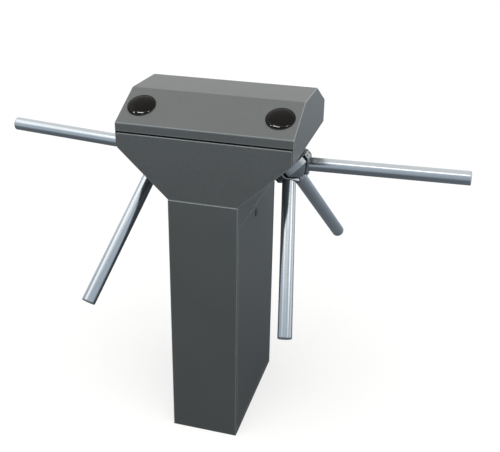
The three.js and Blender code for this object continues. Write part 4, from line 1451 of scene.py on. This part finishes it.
def make_brake_housing(sizes, coil):
    """The brake's round housing: a potted winding in its face and three sunk screws."""
    end, sunk = coil + sizes.coil, coil + 1.2 * MM
    groove, low, high = sizes.brake_radius - 1.2 * MM, coil + sizes.coil * 0.3, coil + sizes.coil * 0.7
    housing = ring("brake_housing", [
        (sizes.collar_radius, end, 0), (sizes.collar_radius, coil, 0.4 * MM),
        (sizes.winding_inner, coil, 0.4 * MM), (sizes.winding_inner, sunk, 0.3 * MM),
        (sizes.winding_outer, sunk, 0.3 * MM), (sizes.winding_outer, coil, 0.4 * MM),
        (sizes.brake_radius, coil, 1 * MM), (sizes.brake_radius, low, 0.4 * MM), (groove, low, 0.4 * MM),
        (groove, high, 0.4 * MM), (sizes.brake_radius, high, 0.4 * MM), (sizes.brake_radius, end, 1 * MM),
    ])
    for turn in BRAKE_SCREWS:
        sink = add_rod("sink", 2.9 * MM, -PAST, 2 * MM, sides=32)
        cut(housing, place(sink, turned_about(sizes.brake_screw_circle, turn, coil)))
    return housing


def make_brake_disc(sizes, seat, disc):
    """The brake's disc, with a raised lining and six holes."""
    bore = sizes.axle_radius + seat
    end, lining = disc + sizes.disc, disc + 1 * MM
    piece = ring("brake_disc", [
        (bore, disc + sizes.disc / 2, 0), (bore, disc, 0.4 * MM), (sizes.lining_inner, disc, 0.4 * MM),
        (sizes.lining_inner + MM, lining, 0.4 * MM), (sizes.brake_radius, lining, 0.6 * MM),
        (sizes.brake_radius, end, 0.6 * MM), (bore, end, 0.4 * MM),
    ])
    for turn in range(0, 360, 60):
        hole = add_rod("hole", sizes.disc_hole, -PAST, PAST, sides=32)
        cut(piece, place(hole, turned_about(sizes.disc_hole_circle, turn, disc)))
    return piece


def make_wheel(sizes, seat, start):
    """The drive gear: its teeth come from the solid, which meshes with the pinion."""
    wheel = from_solid("right_drive_gear", "gear_wheel", barrier_matrix("right").inverted())
    end, sunk = start + sizes.gear_width, 3 * MM
    for low, high in ((start - PAST, start + sunk), (end - sunk, end + PAST)):
        web = add_rod("web", sizes.web_outer, low, high, sides=96)
        cut(wheel, cut(web, add_rod("boss", sizes.web_inner, low - MM, high + MM, sides=96)))
    for turn in range(0, 360, 60):
        hole = add_rod("hole", sizes.web_hole, -20 * MM, 20 * MM, sides=48)
        cut(wheel, place(hole, turned_about(sizes.web_hole_circle, turn, start)))
    cut(wheel, add_rod("bore", sizes.axle_radius + 1.4 * seat, start - PAST, end + PAST, sides=72))
    break_edges(wheel, 0.3 * MM, segments=1, limit=40)
    return wheel


def make_pinion(sizes, wheel):
    """The motor's pinion, with a collar behind its teeth."""
    pinion = from_solid("right_motor_pinion", "toothed_pinion", barrier_matrix("right").inverted())
    break_edges(pinion, 0.3 * MM, segments=1, limit=40)
    radius, low, high = 9 * MM, wheel - sizes.front_depth, wheel + MM
    collar = place(turned("collar", [
        (0, high, 0), (radius, high, 0), (radius, low, 0.8 * MM), (0, low, 0),
    ], sides=48), to_motor(sizes))
    return joined("toothed_pinion", pinion, collar)


def make_motor(sizes, seat):
    """The geared motor: front boss, a can with cooling grooves and an end cover."""
    front = sizes.plate_back + sizes.plate + seat
    end = front + sizes.motor_length
    bore = sizes.shaft_radius + seat
    radius = sizes.motor_radius
    corners = [
        (0, front + sizes.shaft_depth + seat, 0), (bore, front + sizes.shaft_depth + seat, 0),
        (bore, front - sizes.front_depth, 0.4 * MM),
        (sizes.front_radius, front - sizes.front_depth, 0.6 * MM),
        (sizes.front_radius, front, 0.4 * MM), (radius, front, 1.4 * MM),
    ]
    grooves, pitch, groove = 6, 4 * MM, 1.8 * MM
    for i in range(grooves):
        start = front + 14 * MM + i * pitch
        corners += [(radius, start, 0.4 * MM), (radius - groove, start, 0.3 * MM),
                    (radius - groove, start + groove, 0.3 * MM), (radius, start + groove, 0.4 * MM)]
    corners += [
        (radius, end - sizes.cover, 1 * MM), (sizes.cover_radius, end - sizes.cover, 0.6 * MM),
        (sizes.cover_radius, end, 2.4 * MM), (9 * MM, end, 0.4 * MM), (8 * MM, end - 1 * MM, 0.4 * MM),
        (0, end - 1 * MM, 0),
    ]
    return turned("motor_can", corners, steps=3)


def make_motor_screws(sizes, seat):
    """Four screws on the ledge round the motor's end cover."""
    ledge = sizes.plate_back + sizes.plate + seat + sizes.motor_length - sizes.cover
    middle = (sizes.cover_radius + sizes.motor_radius) / 2
    return screws_at("motor_screws", [turned_about(middle, turn, ledge) for turn in (0, 60, 180, 240)])


def make_motor_socket(sizes, seat):
    """The socket for the motor's leads, with two rows of pins."""
    end = sizes.plate_back + sizes.plate + seat + sizes.motor_length - sizes.cover
    top = sizes.motor_radius + sizes.plug_reach
    half = sizes.plug_width / 2
    shell = add_box("motor_socket", (-half, top - 8 * MM, end - sizes.plug_width), (half, top, end))
    bevel_edges(shell, sharp_edges(), 0.8 * MM, segments=3)
    middle, wall, reach = end - half, 2 * MM, 5 * MM
    cut(shell, add_box("mouth", (-half + wall, top - reach, middle - half + wall),
                       (half - wall, top + reach, middle + half - wall)))
    pins = [add_box("pin", (x * MM - MM / 2, top - 6 * MM, middle + z * MM - MM / 2),
                    (x * MM + MM / 2, top - 1.5 * MM, middle + z * MM + MM / 2))
            for x in (-3.5, 0, 3.5) for z in (-2.2, 2.2)]
    return joined("motor_socket", shell, *pins)


# Hinge

def countersunk_screw(name, radius, depth):
    """A countersunk screw head with a hexagon socket, flush with Z = 0."""
    head = spun(name, [(0, -depth), (radius * 0.5, -depth), (radius, -depth * 0.2), (radius, 0), (0, 0)], sides=24)
    return cut(head, add_rod("socket", radius * 0.42, -depth * 0.8, depth, sides=6))


class TURNSTILE_OT_hinge(bpy.types.Operator):
    """Rear hinge of the lid: two leaves that share a row of knuckles, their screws and the pin"""

    bl_idname = "turnstile.hinge"
    bl_label = "Rear hinge"

    def execute(self, context):
        hinge = context.scene.turnstile_hinge
        seat = context.scene.turnstile_door.seat
        low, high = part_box("hinge_pin")
        along = axes_at((low + high) / 2, (1, 0, 0), (0, 1, 0))
        for name, up, first, body, node in (("case", -1, 0, "cabinet", "hinge_case_leaf"),
                                            ("lid", 1, 1, "lid", "hinge_lid_leaf")):
            leaf = make_leaf(hinge, seat, along, up, first)
            leaf.name = f"rolled_{name}_leaf"
            finish_piece(leaf, body, "machined_steel", node)
        half = hinge.width / 2
        pin = turned("rolled_pin", [
            (0, -half, 0), (hinge.pin_radius, -half, 0.4 * MM), (hinge.pin_radius, half, 0.4 * MM),
            (0, half, 0),
        ], sides=32)
        finish_piece(place(pin, along), "cabinet", "machined_steel", "hinge_pin")
        return {"FINISHED"}


def make_leaf(hinge, seat, along, up, first):
    """A leaf with every second knuckle, bored for the pin, and five screws sunk in it."""
    middle = along.translation
    face = middle.y - hinge.knuckle_radius
    front = face + hinge.leaf
    clear = hinge.knuckle_radius + seat
    half = hinge.width / 2
    ends = sorted((middle.z + up * clear, middle.z + up * hinge.leaf_height))
    leaf = add_box("leaf", (-half, face, ends[0]), (half, front, ends[1]))
    far = hinge.leaf_height * 0.9
    bevel_edges(leaf, edges_along((0, 1, 0), lambda point: abs(point.z - middle.z) > far), 3 * MM)
    pitch = hinge.width / hinge.knuckles
    for i in range(first, hinge.knuckles, 2):
        start, end = -half + i * pitch + seat, -half + (i + 1) * pitch - seat
        ends = sorted((middle.z, middle.z + up * (clear + MM)))
        tab = add_box("tab", (start, face, ends[0]), (end, front, ends[1]))
        fuse(leaf, tab, place(add_rod("knuckle", hinge.knuckle_radius, start, end), along))
    cut(leaf, place(add_rod("bore", hinge.pin_radius + seat, -2 * half, 2 * half, sides=32), along))
    screws = []
    head_radius, head, spacing, height = 2.8 * MM, 1.2 * MM, 0.42 * half, 12 * MM
    for i in range(-2, 3):
        spot = axes_at((i * spacing, front, middle.z + up * height), (0, 1, 0), (1, 0, 0))
        cut(leaf, place(add_rod("sink", head_radius + 0.3 * MM, -head, 2 * MM, sides=32), spot))
        screws.append(place(countersunk_screw("screw", head_radius, head), spot))
    break_edges(leaf, 0.2 * MM, segments=1, limit=60)
    return joined("leaf", leaf, *screws)


# Inside the column

def wall_matrix(node):
    """Axes on the column's left wall, from the node's middle: Z stands off the wall, Y runs up."""
    low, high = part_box(node)
    return axes_at((low.x, (low.y + high.y) / 2, (low.z + high.z) / 2), (1, 0, 0), UP)


class TURNSTILE_OT_base(bpy.types.Operator):
    """Base plate with its cable way, and four anchors with washers and nuts"""

    bl_idname = "turnstile.base"
    bl_label = "Base plate"

    def execute(self, context):
        sizes = context.scene.turnstile_inside
        low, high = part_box("base_plate")
        plate = add_box("foot_plate", low, high)
        half = Vector((sizes.way_width / 2, sizes.way_depth / 2, 0))
        way = add_box("way", -half - PAST * UP, half + 20 * MM * UP)
        bevel_edges(way, edges_along(UP), 12 * MM, segments=6)
        spots = corners_of(high.x - sizes.anchor_x, high.y - sizes.anchor_y)
        holes = [place(add_rod("hole", sizes.anchor_hole, -PAST, 20 * MM, sides=48), Matrix.Translation(spot))
                 for spot in spots]
        cut(plate, way, *holes)
        break_edges(plate, 0.7 * MM)
        finish_piece(plate, "cabinet", "galvanised_steel", "base_plate")
        anchors = repeated("floor_anchors", make_anchor(sizes), map(Matrix.Translation, spots))
        finish_piece(anchors, "cabinet", "galvanised_steel", "base_plate")
        return {"FINISHED"}


def make_anchor(sizes):
    """A stud with a washer and a nut that hold the plate down."""
    top = sizes.plate
    stud_radius, washer_radius, nut_radius = sizes.anchor_hole - MM, 12 * MM, 10.4 * MM
    washer = ring("washer", [
        (stud_radius, top + 1 * MM, 0), (stud_radius, top, 0.2 * MM), (washer_radius, top, 0.4 * MM),
        (washer_radius, top + 2 * MM, 0.4 * MM), (stud_radius, top + 2 * MM, 0.2 * MM),
    ], sides=48)
    nut = add_rod("nut", nut_radius, top + 2 * MM, top + 11 * MM, sides=6)
    break_edges(nut, 0.7 * MM)
    profile = [(0, 0), (stud_radius, 0)]
    threads, pitch, depth = 17, 0.8 * MM, 0.5 * MM
    for i in range(threads):
        height = top + 10 * MM + i * pitch
        profile += [(stud_radius, height), (stud_radius - depth, height + pitch / 2)]
    profile += [(stud_radius - 0.8 * MM, top + 24.4 * MM), (0, top + 24.4 * MM)]
    return joined("anchor", spun("stud", profile, sides=32), washer, nut)


class TURNSTILE_OT_supply(bpy.types.Operator):
    """Power supply: a slotted cover on lugs, its terminals and its screws"""

    bl_idname = "turnstile.supply"
    bl_label = "Power supply"

    def execute(self, context):
        sizes = context.scene.turnstile_inside
        half_x, half_y, depth = sizes.supply_width / 2, sizes.supply_height / 2, sizes.supply_depth
        cover = add_box("supply_cover", (-half_x, -half_y, 0), (half_x, half_y, depth))
        bevel_edges(cover, edges_along(UP), 1.2 * MM, segments=3)
        bevel_edges(cover, sharp_edges(above(depth - NEAR)), 0.8 * MM, segments=3)
        hollow = add_box("hollow", (-half_x + MM, -half_y + MM, -PAST), (half_x - MM, half_y - MM, depth - MM))
        inset = MM / 2
        floor = add_box("floor", (-half_x + inset, -half_y + inset, 0), (half_x - inset, half_y - inset, 24 * MM))
        border = 12 * MM
        notch = add_box("notch", (-half_x + border, -half_y - PAST, depth - 16 * MM),
                        (half_x - border, -half_y + 14 * MM, depth + PAST))
        slots = []
        count = 9
        pitch = sizes.supply_width / (count + 1)
        for i in range(count):
            middle = -half_x + (i + 1) * pitch
            slot = add_box("slot", (middle - sizes.slot / 2, -20 * MM, depth - 3 * MM),
                           (middle + sizes.slot / 2, half_y - 10 * MM, depth + PAST))
            bevel_edges(slot, edges_along(UP), sizes.slot * 0.49, segments=6)
            slots.append(slot)
        cut(cover, hollow, notch, *slots)
        ledge = 2 * MM
        lugs = add_box("lugs", (-half_x - sizes.lug, -half_y, 0), (half_x + sizes.lug, half_y, ledge))
        bevel_edges(lugs, edges_along(UP), 3 * MM)
        fuse(floor, lugs)
        break_edges(cover, 0.2 * MM, segments=1, limit=60)
        break_edges(floor, 0.3 * MM, segments=1, limit=60)
        wall = wall_matrix("power_supply")
        finish_piece(place(joined("supply_cover", cover, floor), wall), "cabinet", "galvanised_steel",
                     "power_supply")
        row = terminal_row("supply_terminals", sizes.supply_width - 28 * MM, 12 * MM, 13 * MM, 9)
        seat = Matrix.Translation((0, -half_y + 7 * MM, depth - 15.6 * MM))
        finish_piece(place(row, wall @ seat), "cabinet", "black_plastic", "power_supply")
        spots = map(Matrix.Translation, corners_of(half_x + sizes.lug * 0.55, half_y * 0.7, ledge))
        finish_piece(place(screws_at("supply_screws", spots), wall), "cabinet", "machined_steel",
                     "power_supply")
        return {"FINISHED"}


def terminal_row(name, width, depth, height, count):
    """A row of like screw terminals, standing on Z = 0, each with a wire entry in front."""
    pitch = width / count
    cell = add_box("cell", (-pitch / 2, -depth / 2, 0), (pitch / 2, depth / 2, height))
    bevel_edges(cell, edges_along((1, 0, 0), above(height - NEAR)), 0.8 * MM, segments=2)
    cut(cell, add_rod("well", pitch * 0.32, height * 0.55, 2 * height, sides=24),
        add_box("mouth", (-pitch * 0.3, -depth, height * 0.16), (pitch * 0.3, 0, height * 0.5)))
    screw = spun("screw", [(0, height * 0.5), (pitch * 0.27, height * 0.5), (pitch * 0.27, height * 0.72),
                           (0, height * 0.72)], sides=20)
    cut(screw, add_box("drive", (-pitch, -0.35 * MM, height * 0.66), (pitch, 0.35 * MM, height)))
    spots = [Matrix.Translation(((i + 0.5) * pitch - width / 2, 0, 0)) for i in range(count)]
    return repeated(name, joined("cell", cell, screw), spots)


class TURNSTILE_OT_board(bpy.types.Operator):
    """Control board on four standoffs: relays, processor, capacitors, small parts and terminals"""

    bl_idname = "turnstile.board"
    bl_label = "Control board"

    def execute(self, context):
        sizes = context.scene.turnstile_inside
        half_x, half_y = sizes.board_width / 2, sizes.board_height / 2
        face = sizes.standoff + sizes.board
        low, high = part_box("control_board")
        wall = axes_at((low.x, 0, (low.z + high.z) / 2), (1, 0, 0), UP)
        corners = corners_of(half_x - sizes.inset, half_y - sizes.inset)
        board = add_box("printed_board", (-half_x, -half_y, sizes.standoff), (half_x, half_y, face))
        bevel_edges(board, edges_along(UP), 2.5 * MM)
        break_edges(board, 0.1 * MM, segments=1)
        posts = [place(add_rod("post", 4 * MM, 0, sizes.standoff, sides=6), Matrix.Translation(corner))
                 for corner in corners]
        screws = screws_at("board_screws", [Matrix.Translation(corner + face * UP) for corner in corners])
        metal = joined("board_fixings", *posts, screws, *make_legs(face), *make_can_tops(face))
        plastic = joined("board_parts", *make_relays(sizes, half_x, half_y, face), make_processor(face),
                         *make_cans(face), *make_small_parts(face))
        row = terminal_row("board_terminals", sizes.board_width - 4 * sizes.inset, 10 * MM, 12 * MM, 18)
        place(row, Matrix.Translation((0, -half_y + 10 * MM, face)))
        for piece, slot in ((board, "circuit_board"), (metal, "machined_steel"), (plastic, "black_plastic"),
                            (row, "black_plastic")):
            finish_piece(place(piece, wall), "cabinet", slot, "control_board")
        return {"FINISHED"}


def make_relays(sizes, half_x, half_y, face):
    """Four relays in a row along the top, each with a lip round its foot."""
    made = []
    width, depth, height, pitch, lip = 18 * MM, 16 * MM, 15 * MM, 27 * MM, 0.4 * MM
    for i in range(4):
        start = -half_x + sizes.inset * 2 + i * pitch
        top = half_y - sizes.inset * 2
        relay = add_box("relay", (start, top - depth, face), (start + width, top, face + height))
        bevel_edges(relay, sharp_edges(above(face + MM)), 0.9 * MM, segments=3)
        foot = add_box("lip", (start - lip, top - depth - lip, face),
                       (start + width + lip, top + lip, face + 2 * MM))
        made += [relay, foot]
    return made


def make_processor(face):
    """A square processor with a marked corner."""
    half = 11 * MM
    chip = add_box("processor", (-half, -half, face + 0.3 * MM), (half, half, face + 2.8 * MM))
    bevel_edges(chip, sharp_edges(above(face + 2 * MM)), 0.4 * MM, segments=2)
    dot = add_rod("dot", 1 * MM, face + 2.5 * MM, face + PAST, sides=24)
    return cut(chip, place(dot, Matrix.Translation((-half + 3 * MM, half - 3 * MM, 0))))


def make_legs(face):
    """The processor's legs, fourteen on each side."""
    made = []
    count, pitch, half = 14, 1.35 * MM, 0.28 * MM
    for side in range(4):
        for i in range(count):
            offset = (i - (count - 1) / 2) * pitch
            leg = add_box("leg", (10.6 * MM, offset - half, face), (12.6 * MM, offset + half, face + 0.9 * MM))
            made.append(place(leg, Matrix.Rotation(side * math.pi / 2, 4, "Z")))
    return made


# Place along the board, radius and height of each capacitor, and how far below the board's middle they stand
CAPACITORS = ((-62 * MM, 6.2 * MM, 14.5 * MM), (-44 * MM, 6.2 * MM, 14.5 * MM), (-29 * MM, 4 * MM, 11 * MM))
CAPACITOR_ROW = -18 * MM
CAN_RIM = 0.7 * MM


def make_cans(face):
    """Sleeves of the capacitors, drawn in over their rims."""
    return [place(turned("can", [
        (0, face, 0), (radius * 0.94, face, 0.3 * MM), (radius * 0.94, face + 1.4 * MM, 0.3 * MM),
        (radius, face + 2.2 * MM, 0.3 * MM), (radius, face + height, 0.6 * MM),
        (radius - CAN_RIM, face + height, 0.1 * MM), (radius - CAN_RIM, face + height - 0.4 * MM, 0.1 * MM),
        (0, face + height - 0.4 * MM, 0),
    ], sides=40, steps=2), Matrix.Translation((x, CAPACITOR_ROW, 0))) for x, radius, height in CAPACITORS]


def make_can_tops(face):
    """Metal tops of the capacitors."""
    tops = []
    for x, radius, height in CAPACITORS:
        low, high = face + height - MM, face + height - 0.1 * MM
        top = spun("can_top", [(0, low), (radius - CAN_RIM, low), (radius - CAN_RIM, high), (0, high)], sides=40)
        tops.append(place(top, Matrix.Translation((x, CAPACITOR_ROW, 0))))
    return tops


def make_small_parts(face):
    """Three rows of small parts and a flat connector with two rows of pins."""
    made = []
    rows = ((6, 1.2), (-6, 0.9), (-20, 1.2))  # Place across the board and height in millimetres
    for i in range(9):
        x = (26 + i * 6.5) * MM
        for y, tall in rows:
            part = add_box("part", (x, y * MM, face), (x + 3.2 * MM, (y + 1.7) * MM, face + tall * MM))
            bevel_edges(part, sharp_edges(), 0.15 * MM, segments=1)
            made.append(part)
    shell = add_box("connector", (44 * MM, 24 * MM, face), (78 * MM, 32 * MM, face + 9 * MM))
    cut(shell, add_box("mouth", (45 * MM, 25 * MM, face + 2 * MM), (77 * MM, 31 * MM, face + 20 * MM)))
    pitch = 2.54
    pins = [add_box("pin", ((46.5 + i * pitch) * MM, y * MM, face),
                    ((47.1 + i * pitch) * MM, (y + 0.6) * MM, face + 7 * MM))
            for i in range(12) for y in (26.4, 29)]
    return made + [shell, *pins]


# Stage

class TURNSTILE_OT_stage(bpy.types.Operator):
    """Pale floor, soft lights, room and camera"""

    bl_idname = "turnstile.stage"
    bl_label = "Stage"

    def execute(self, context):
        stage = context.scene.turnstile_stage
        deselect()
        bpy.ops.mesh.primitive_plane_add(size=60, location=(0, 0, -MM / 2))
        floor = context.active_object
        floor.name = "floor"
        settle(floor)
        floor.data.materials.append(finish_of("floor"))
        make_mat(stage)
        make_lights(stage)
        make_room(context, stage)
        make_camera(context, stage)
        context.scene.view_settings.view_transform = "Standard"
        return {"FINISHED"}


# Grey screens that the polished arms mirror, glowing with the mat's painted shade: place of the middle, turn about
# Z in degrees, width and height
SCREENS = {
    "low_screen": ((-0.4, -4.5, 2.7), 0, (8.0, 5.4, 1)),
    "tall_screen": ((2.65, -3.64, 2.9), 36, (4.0, 5.8, 1)),
    "left_screen": ((-4.9, -1.2, 1.9), -76, (5.4, 3.8, 1)),
    "right_screen": ((4.8, -1.2, 1.5), 76, (4.4, 3.0, 1)),
}
# Rectangular lamps, each with the name of its power: place, what it points at, width and height
LAMPS = {
    "front": ((0.3, -4.2, 2.5), (0, 0, 0.85), (6.0, 2.3)),
    "left": ((-2.4, -1.1, 3.3), (0, 0, 0.7), (3.4, 1.8)),
    "right": ((2.9, -0.4, 2.5), (0, 0, 0.7), (1.4, 0.7)),
    "top": ((-0.3, -1.2, 3.3), (0, 0, 0.85), (2.6, 0.5)),
}
# Tube lamps that only the readers' windows mirror: place along X and width
TUBES = {"left_tube": (-2.2, 0.6), "middle_tube": (-0.6, 1.3), "right_tube": (1.5, 0.7)}


def make_mat(stage):
    """A round grey mat, and four grey screens in front and beside, which the polished arms mirror. All of them
    glow with painted shade, darker near the object.
    """
    deselect()
    bpy.ops.mesh.primitive_circle_add(vertices=64, radius=stage.mat_radius, fill_type="NGON")
    cards = {"mat": bpy.context.active_object}
    for name, (point, turn, size) in SCREENS.items():
        deselect()
        bpy.ops.mesh.primitive_plane_add(size=1, location=point, rotation=(math.pi / 2, 0, math.radians(turn)))
        cards[name] = bpy.context.active_object
        cards[name].scale = size
    for name, card in cards.items():
        card.name = name
        settle(card)
        card.data.materials.append(finish_of("mat"))
        card.visible_camera = card.visible_diffuse = False
        card.visible_shadow = card.visible_transmission = False


def make_lights(stage):
    """A broad soft light from above, four lamps, and three tube lamps that only the readers mirror."""
    bpy.ops.object.light_add(type="SUN", rotation=(stage.ceiling_lean, stage.ceiling_side, 0))
    ceiling = bpy.context.active_object
    ceiling.name = "ceiling_light"
    ceiling.data.energy = stage.ceiling
    ceiling.data.angle = stage.ceiling_spread
    lamps = {name: make_area(f"{name}_light", *row, getattr(stage, name)) for name, row in LAMPS.items()}
    ceiling.visible_glossy = lamps["front"].visible_glossy = False
    lamps["top"].visible_diffuse = False
    windows = bpy.data.collections.new("windows")
    for side in ("right", "left"):
        windows.objects.link(bpy.data.objects[f"{side}_domed_window"])
    for name, (x, width) in TUBES.items():
        lamp = make_area(name, (x, -1.5, 3.3), (0, 0, 0.9), (width, 0.3), stage.tube * width)
        lamp.light_linking.receiver_collection = windows
        lamp.visible_diffuse = False


def make_area(name, point, aim, size, power):
    """A rectangular lamp that points at a place and doesn't show itself."""
    bpy.ops.object.light_add(type="AREA", location=point)
    lamp = bpy.context.active_object
    lamp.name = name
    lamp.rotation_euler = (Vector(aim) - Vector(point)).to_track_quat("-Z", "Y").to_euler()
    lamp.data.shape = "RECTANGLE"
    lamp.data.size, lamp.data.size_y = size
    lamp.data.energy = power
    lamp.visible_camera = False
    return lamp


def make_room(context, stage):
    """Even light all round, seen as white behind the object."""
    world = bpy.data.worlds.new("room")
    context.scene.world = world
    world.use_nodes = True
    tree = world.node_tree
    tree.nodes.clear()
    strength = ranged(tree, seen_directly(tree), stage.room, 1.0, 0, 1)
    light = add_node(tree, "ShaderNodeBackground", inputs={"Color": (1, 1, 1, 1), "Strength": strength})
    add_node(tree, "ShaderNodeOutputWorld", inputs={"Surface": light.outputs["Background"]})


def make_camera(context, stage):
    """The camera at the photograph's viewing angle."""
    bpy.ops.object.camera_add()
    camera = context.active_object
    camera.name = "camera"
    turn = Matrix.Rotation(stage.camera_turn, 4, "Z")
    tilt = Matrix.Rotation(math.pi / 2 - stage.camera_pitch, 4, "X")
    roll = Matrix.Rotation(stage.camera_roll, 4, "Z")
    camera.matrix_world = Matrix.Translation(stage.camera_place) @ turn @ tilt @ roll
    camera.data.sensor_width = 36
    camera.data.lens = stage.camera_lens
    camera.data.shift_x, camera.data.shift_y = stage.camera_shift
    context.scene.camera = camera


PIECES = (
    TURNSTILE_OT_column,
    TURNSTILE_OT_head,
    TURNSTILE_OT_lid,
    TURNSTILE_OT_door,
    TURNSTILE_OT_lock,
    TURNSTILE_OT_readers,
    TURNSTILE_OT_barriers,
    TURNSTILE_OT_drives,
    TURNSTILE_OT_hinge,
    TURNSTILE_OT_base,
    TURNSTILE_OT_supply,
    TURNSTILE_OT_board,
    TURNSTILE_OT_stage,
)


class TURNSTILE_PT_sidebar(bpy.types.Panel):
    """Lists the pieces in the order that they are made"""

    bl_idname = "TURNSTILE_PT_sidebar"
    bl_label = "Turnstile"
    bl_space_type = "VIEW_3D"
    bl_region_type = "UI"
    bl_category = "Turnstile"

    def draw(self, context):
        for operator in PIECES:
            self.layout.operator(operator.bl_idname)


CLASSES = (*SETTINGS.values(), *PIECES, TURNSTILE_PT_sidebar)


def register():
    for one in CLASSES:
        bpy.utils.register_class(one)
    for name, group in SETTINGS.items():
        setattr(bpy.types.Scene, name, PointerProperty(type=group))


def unregister():
    for name in SETTINGS:
        delattr(bpy.types.Scene, name)
    for one in reversed(CLASSES):
        bpy.utils.unregister_class(one)


def main():
    """Builds every piece in order."""
    register()
    for operator in PIECES:
        group, name = operator.bl_idname.split(".")
        getattr(getattr(bpy.ops, group), name)()


if __name__ == "__main__":
    main()
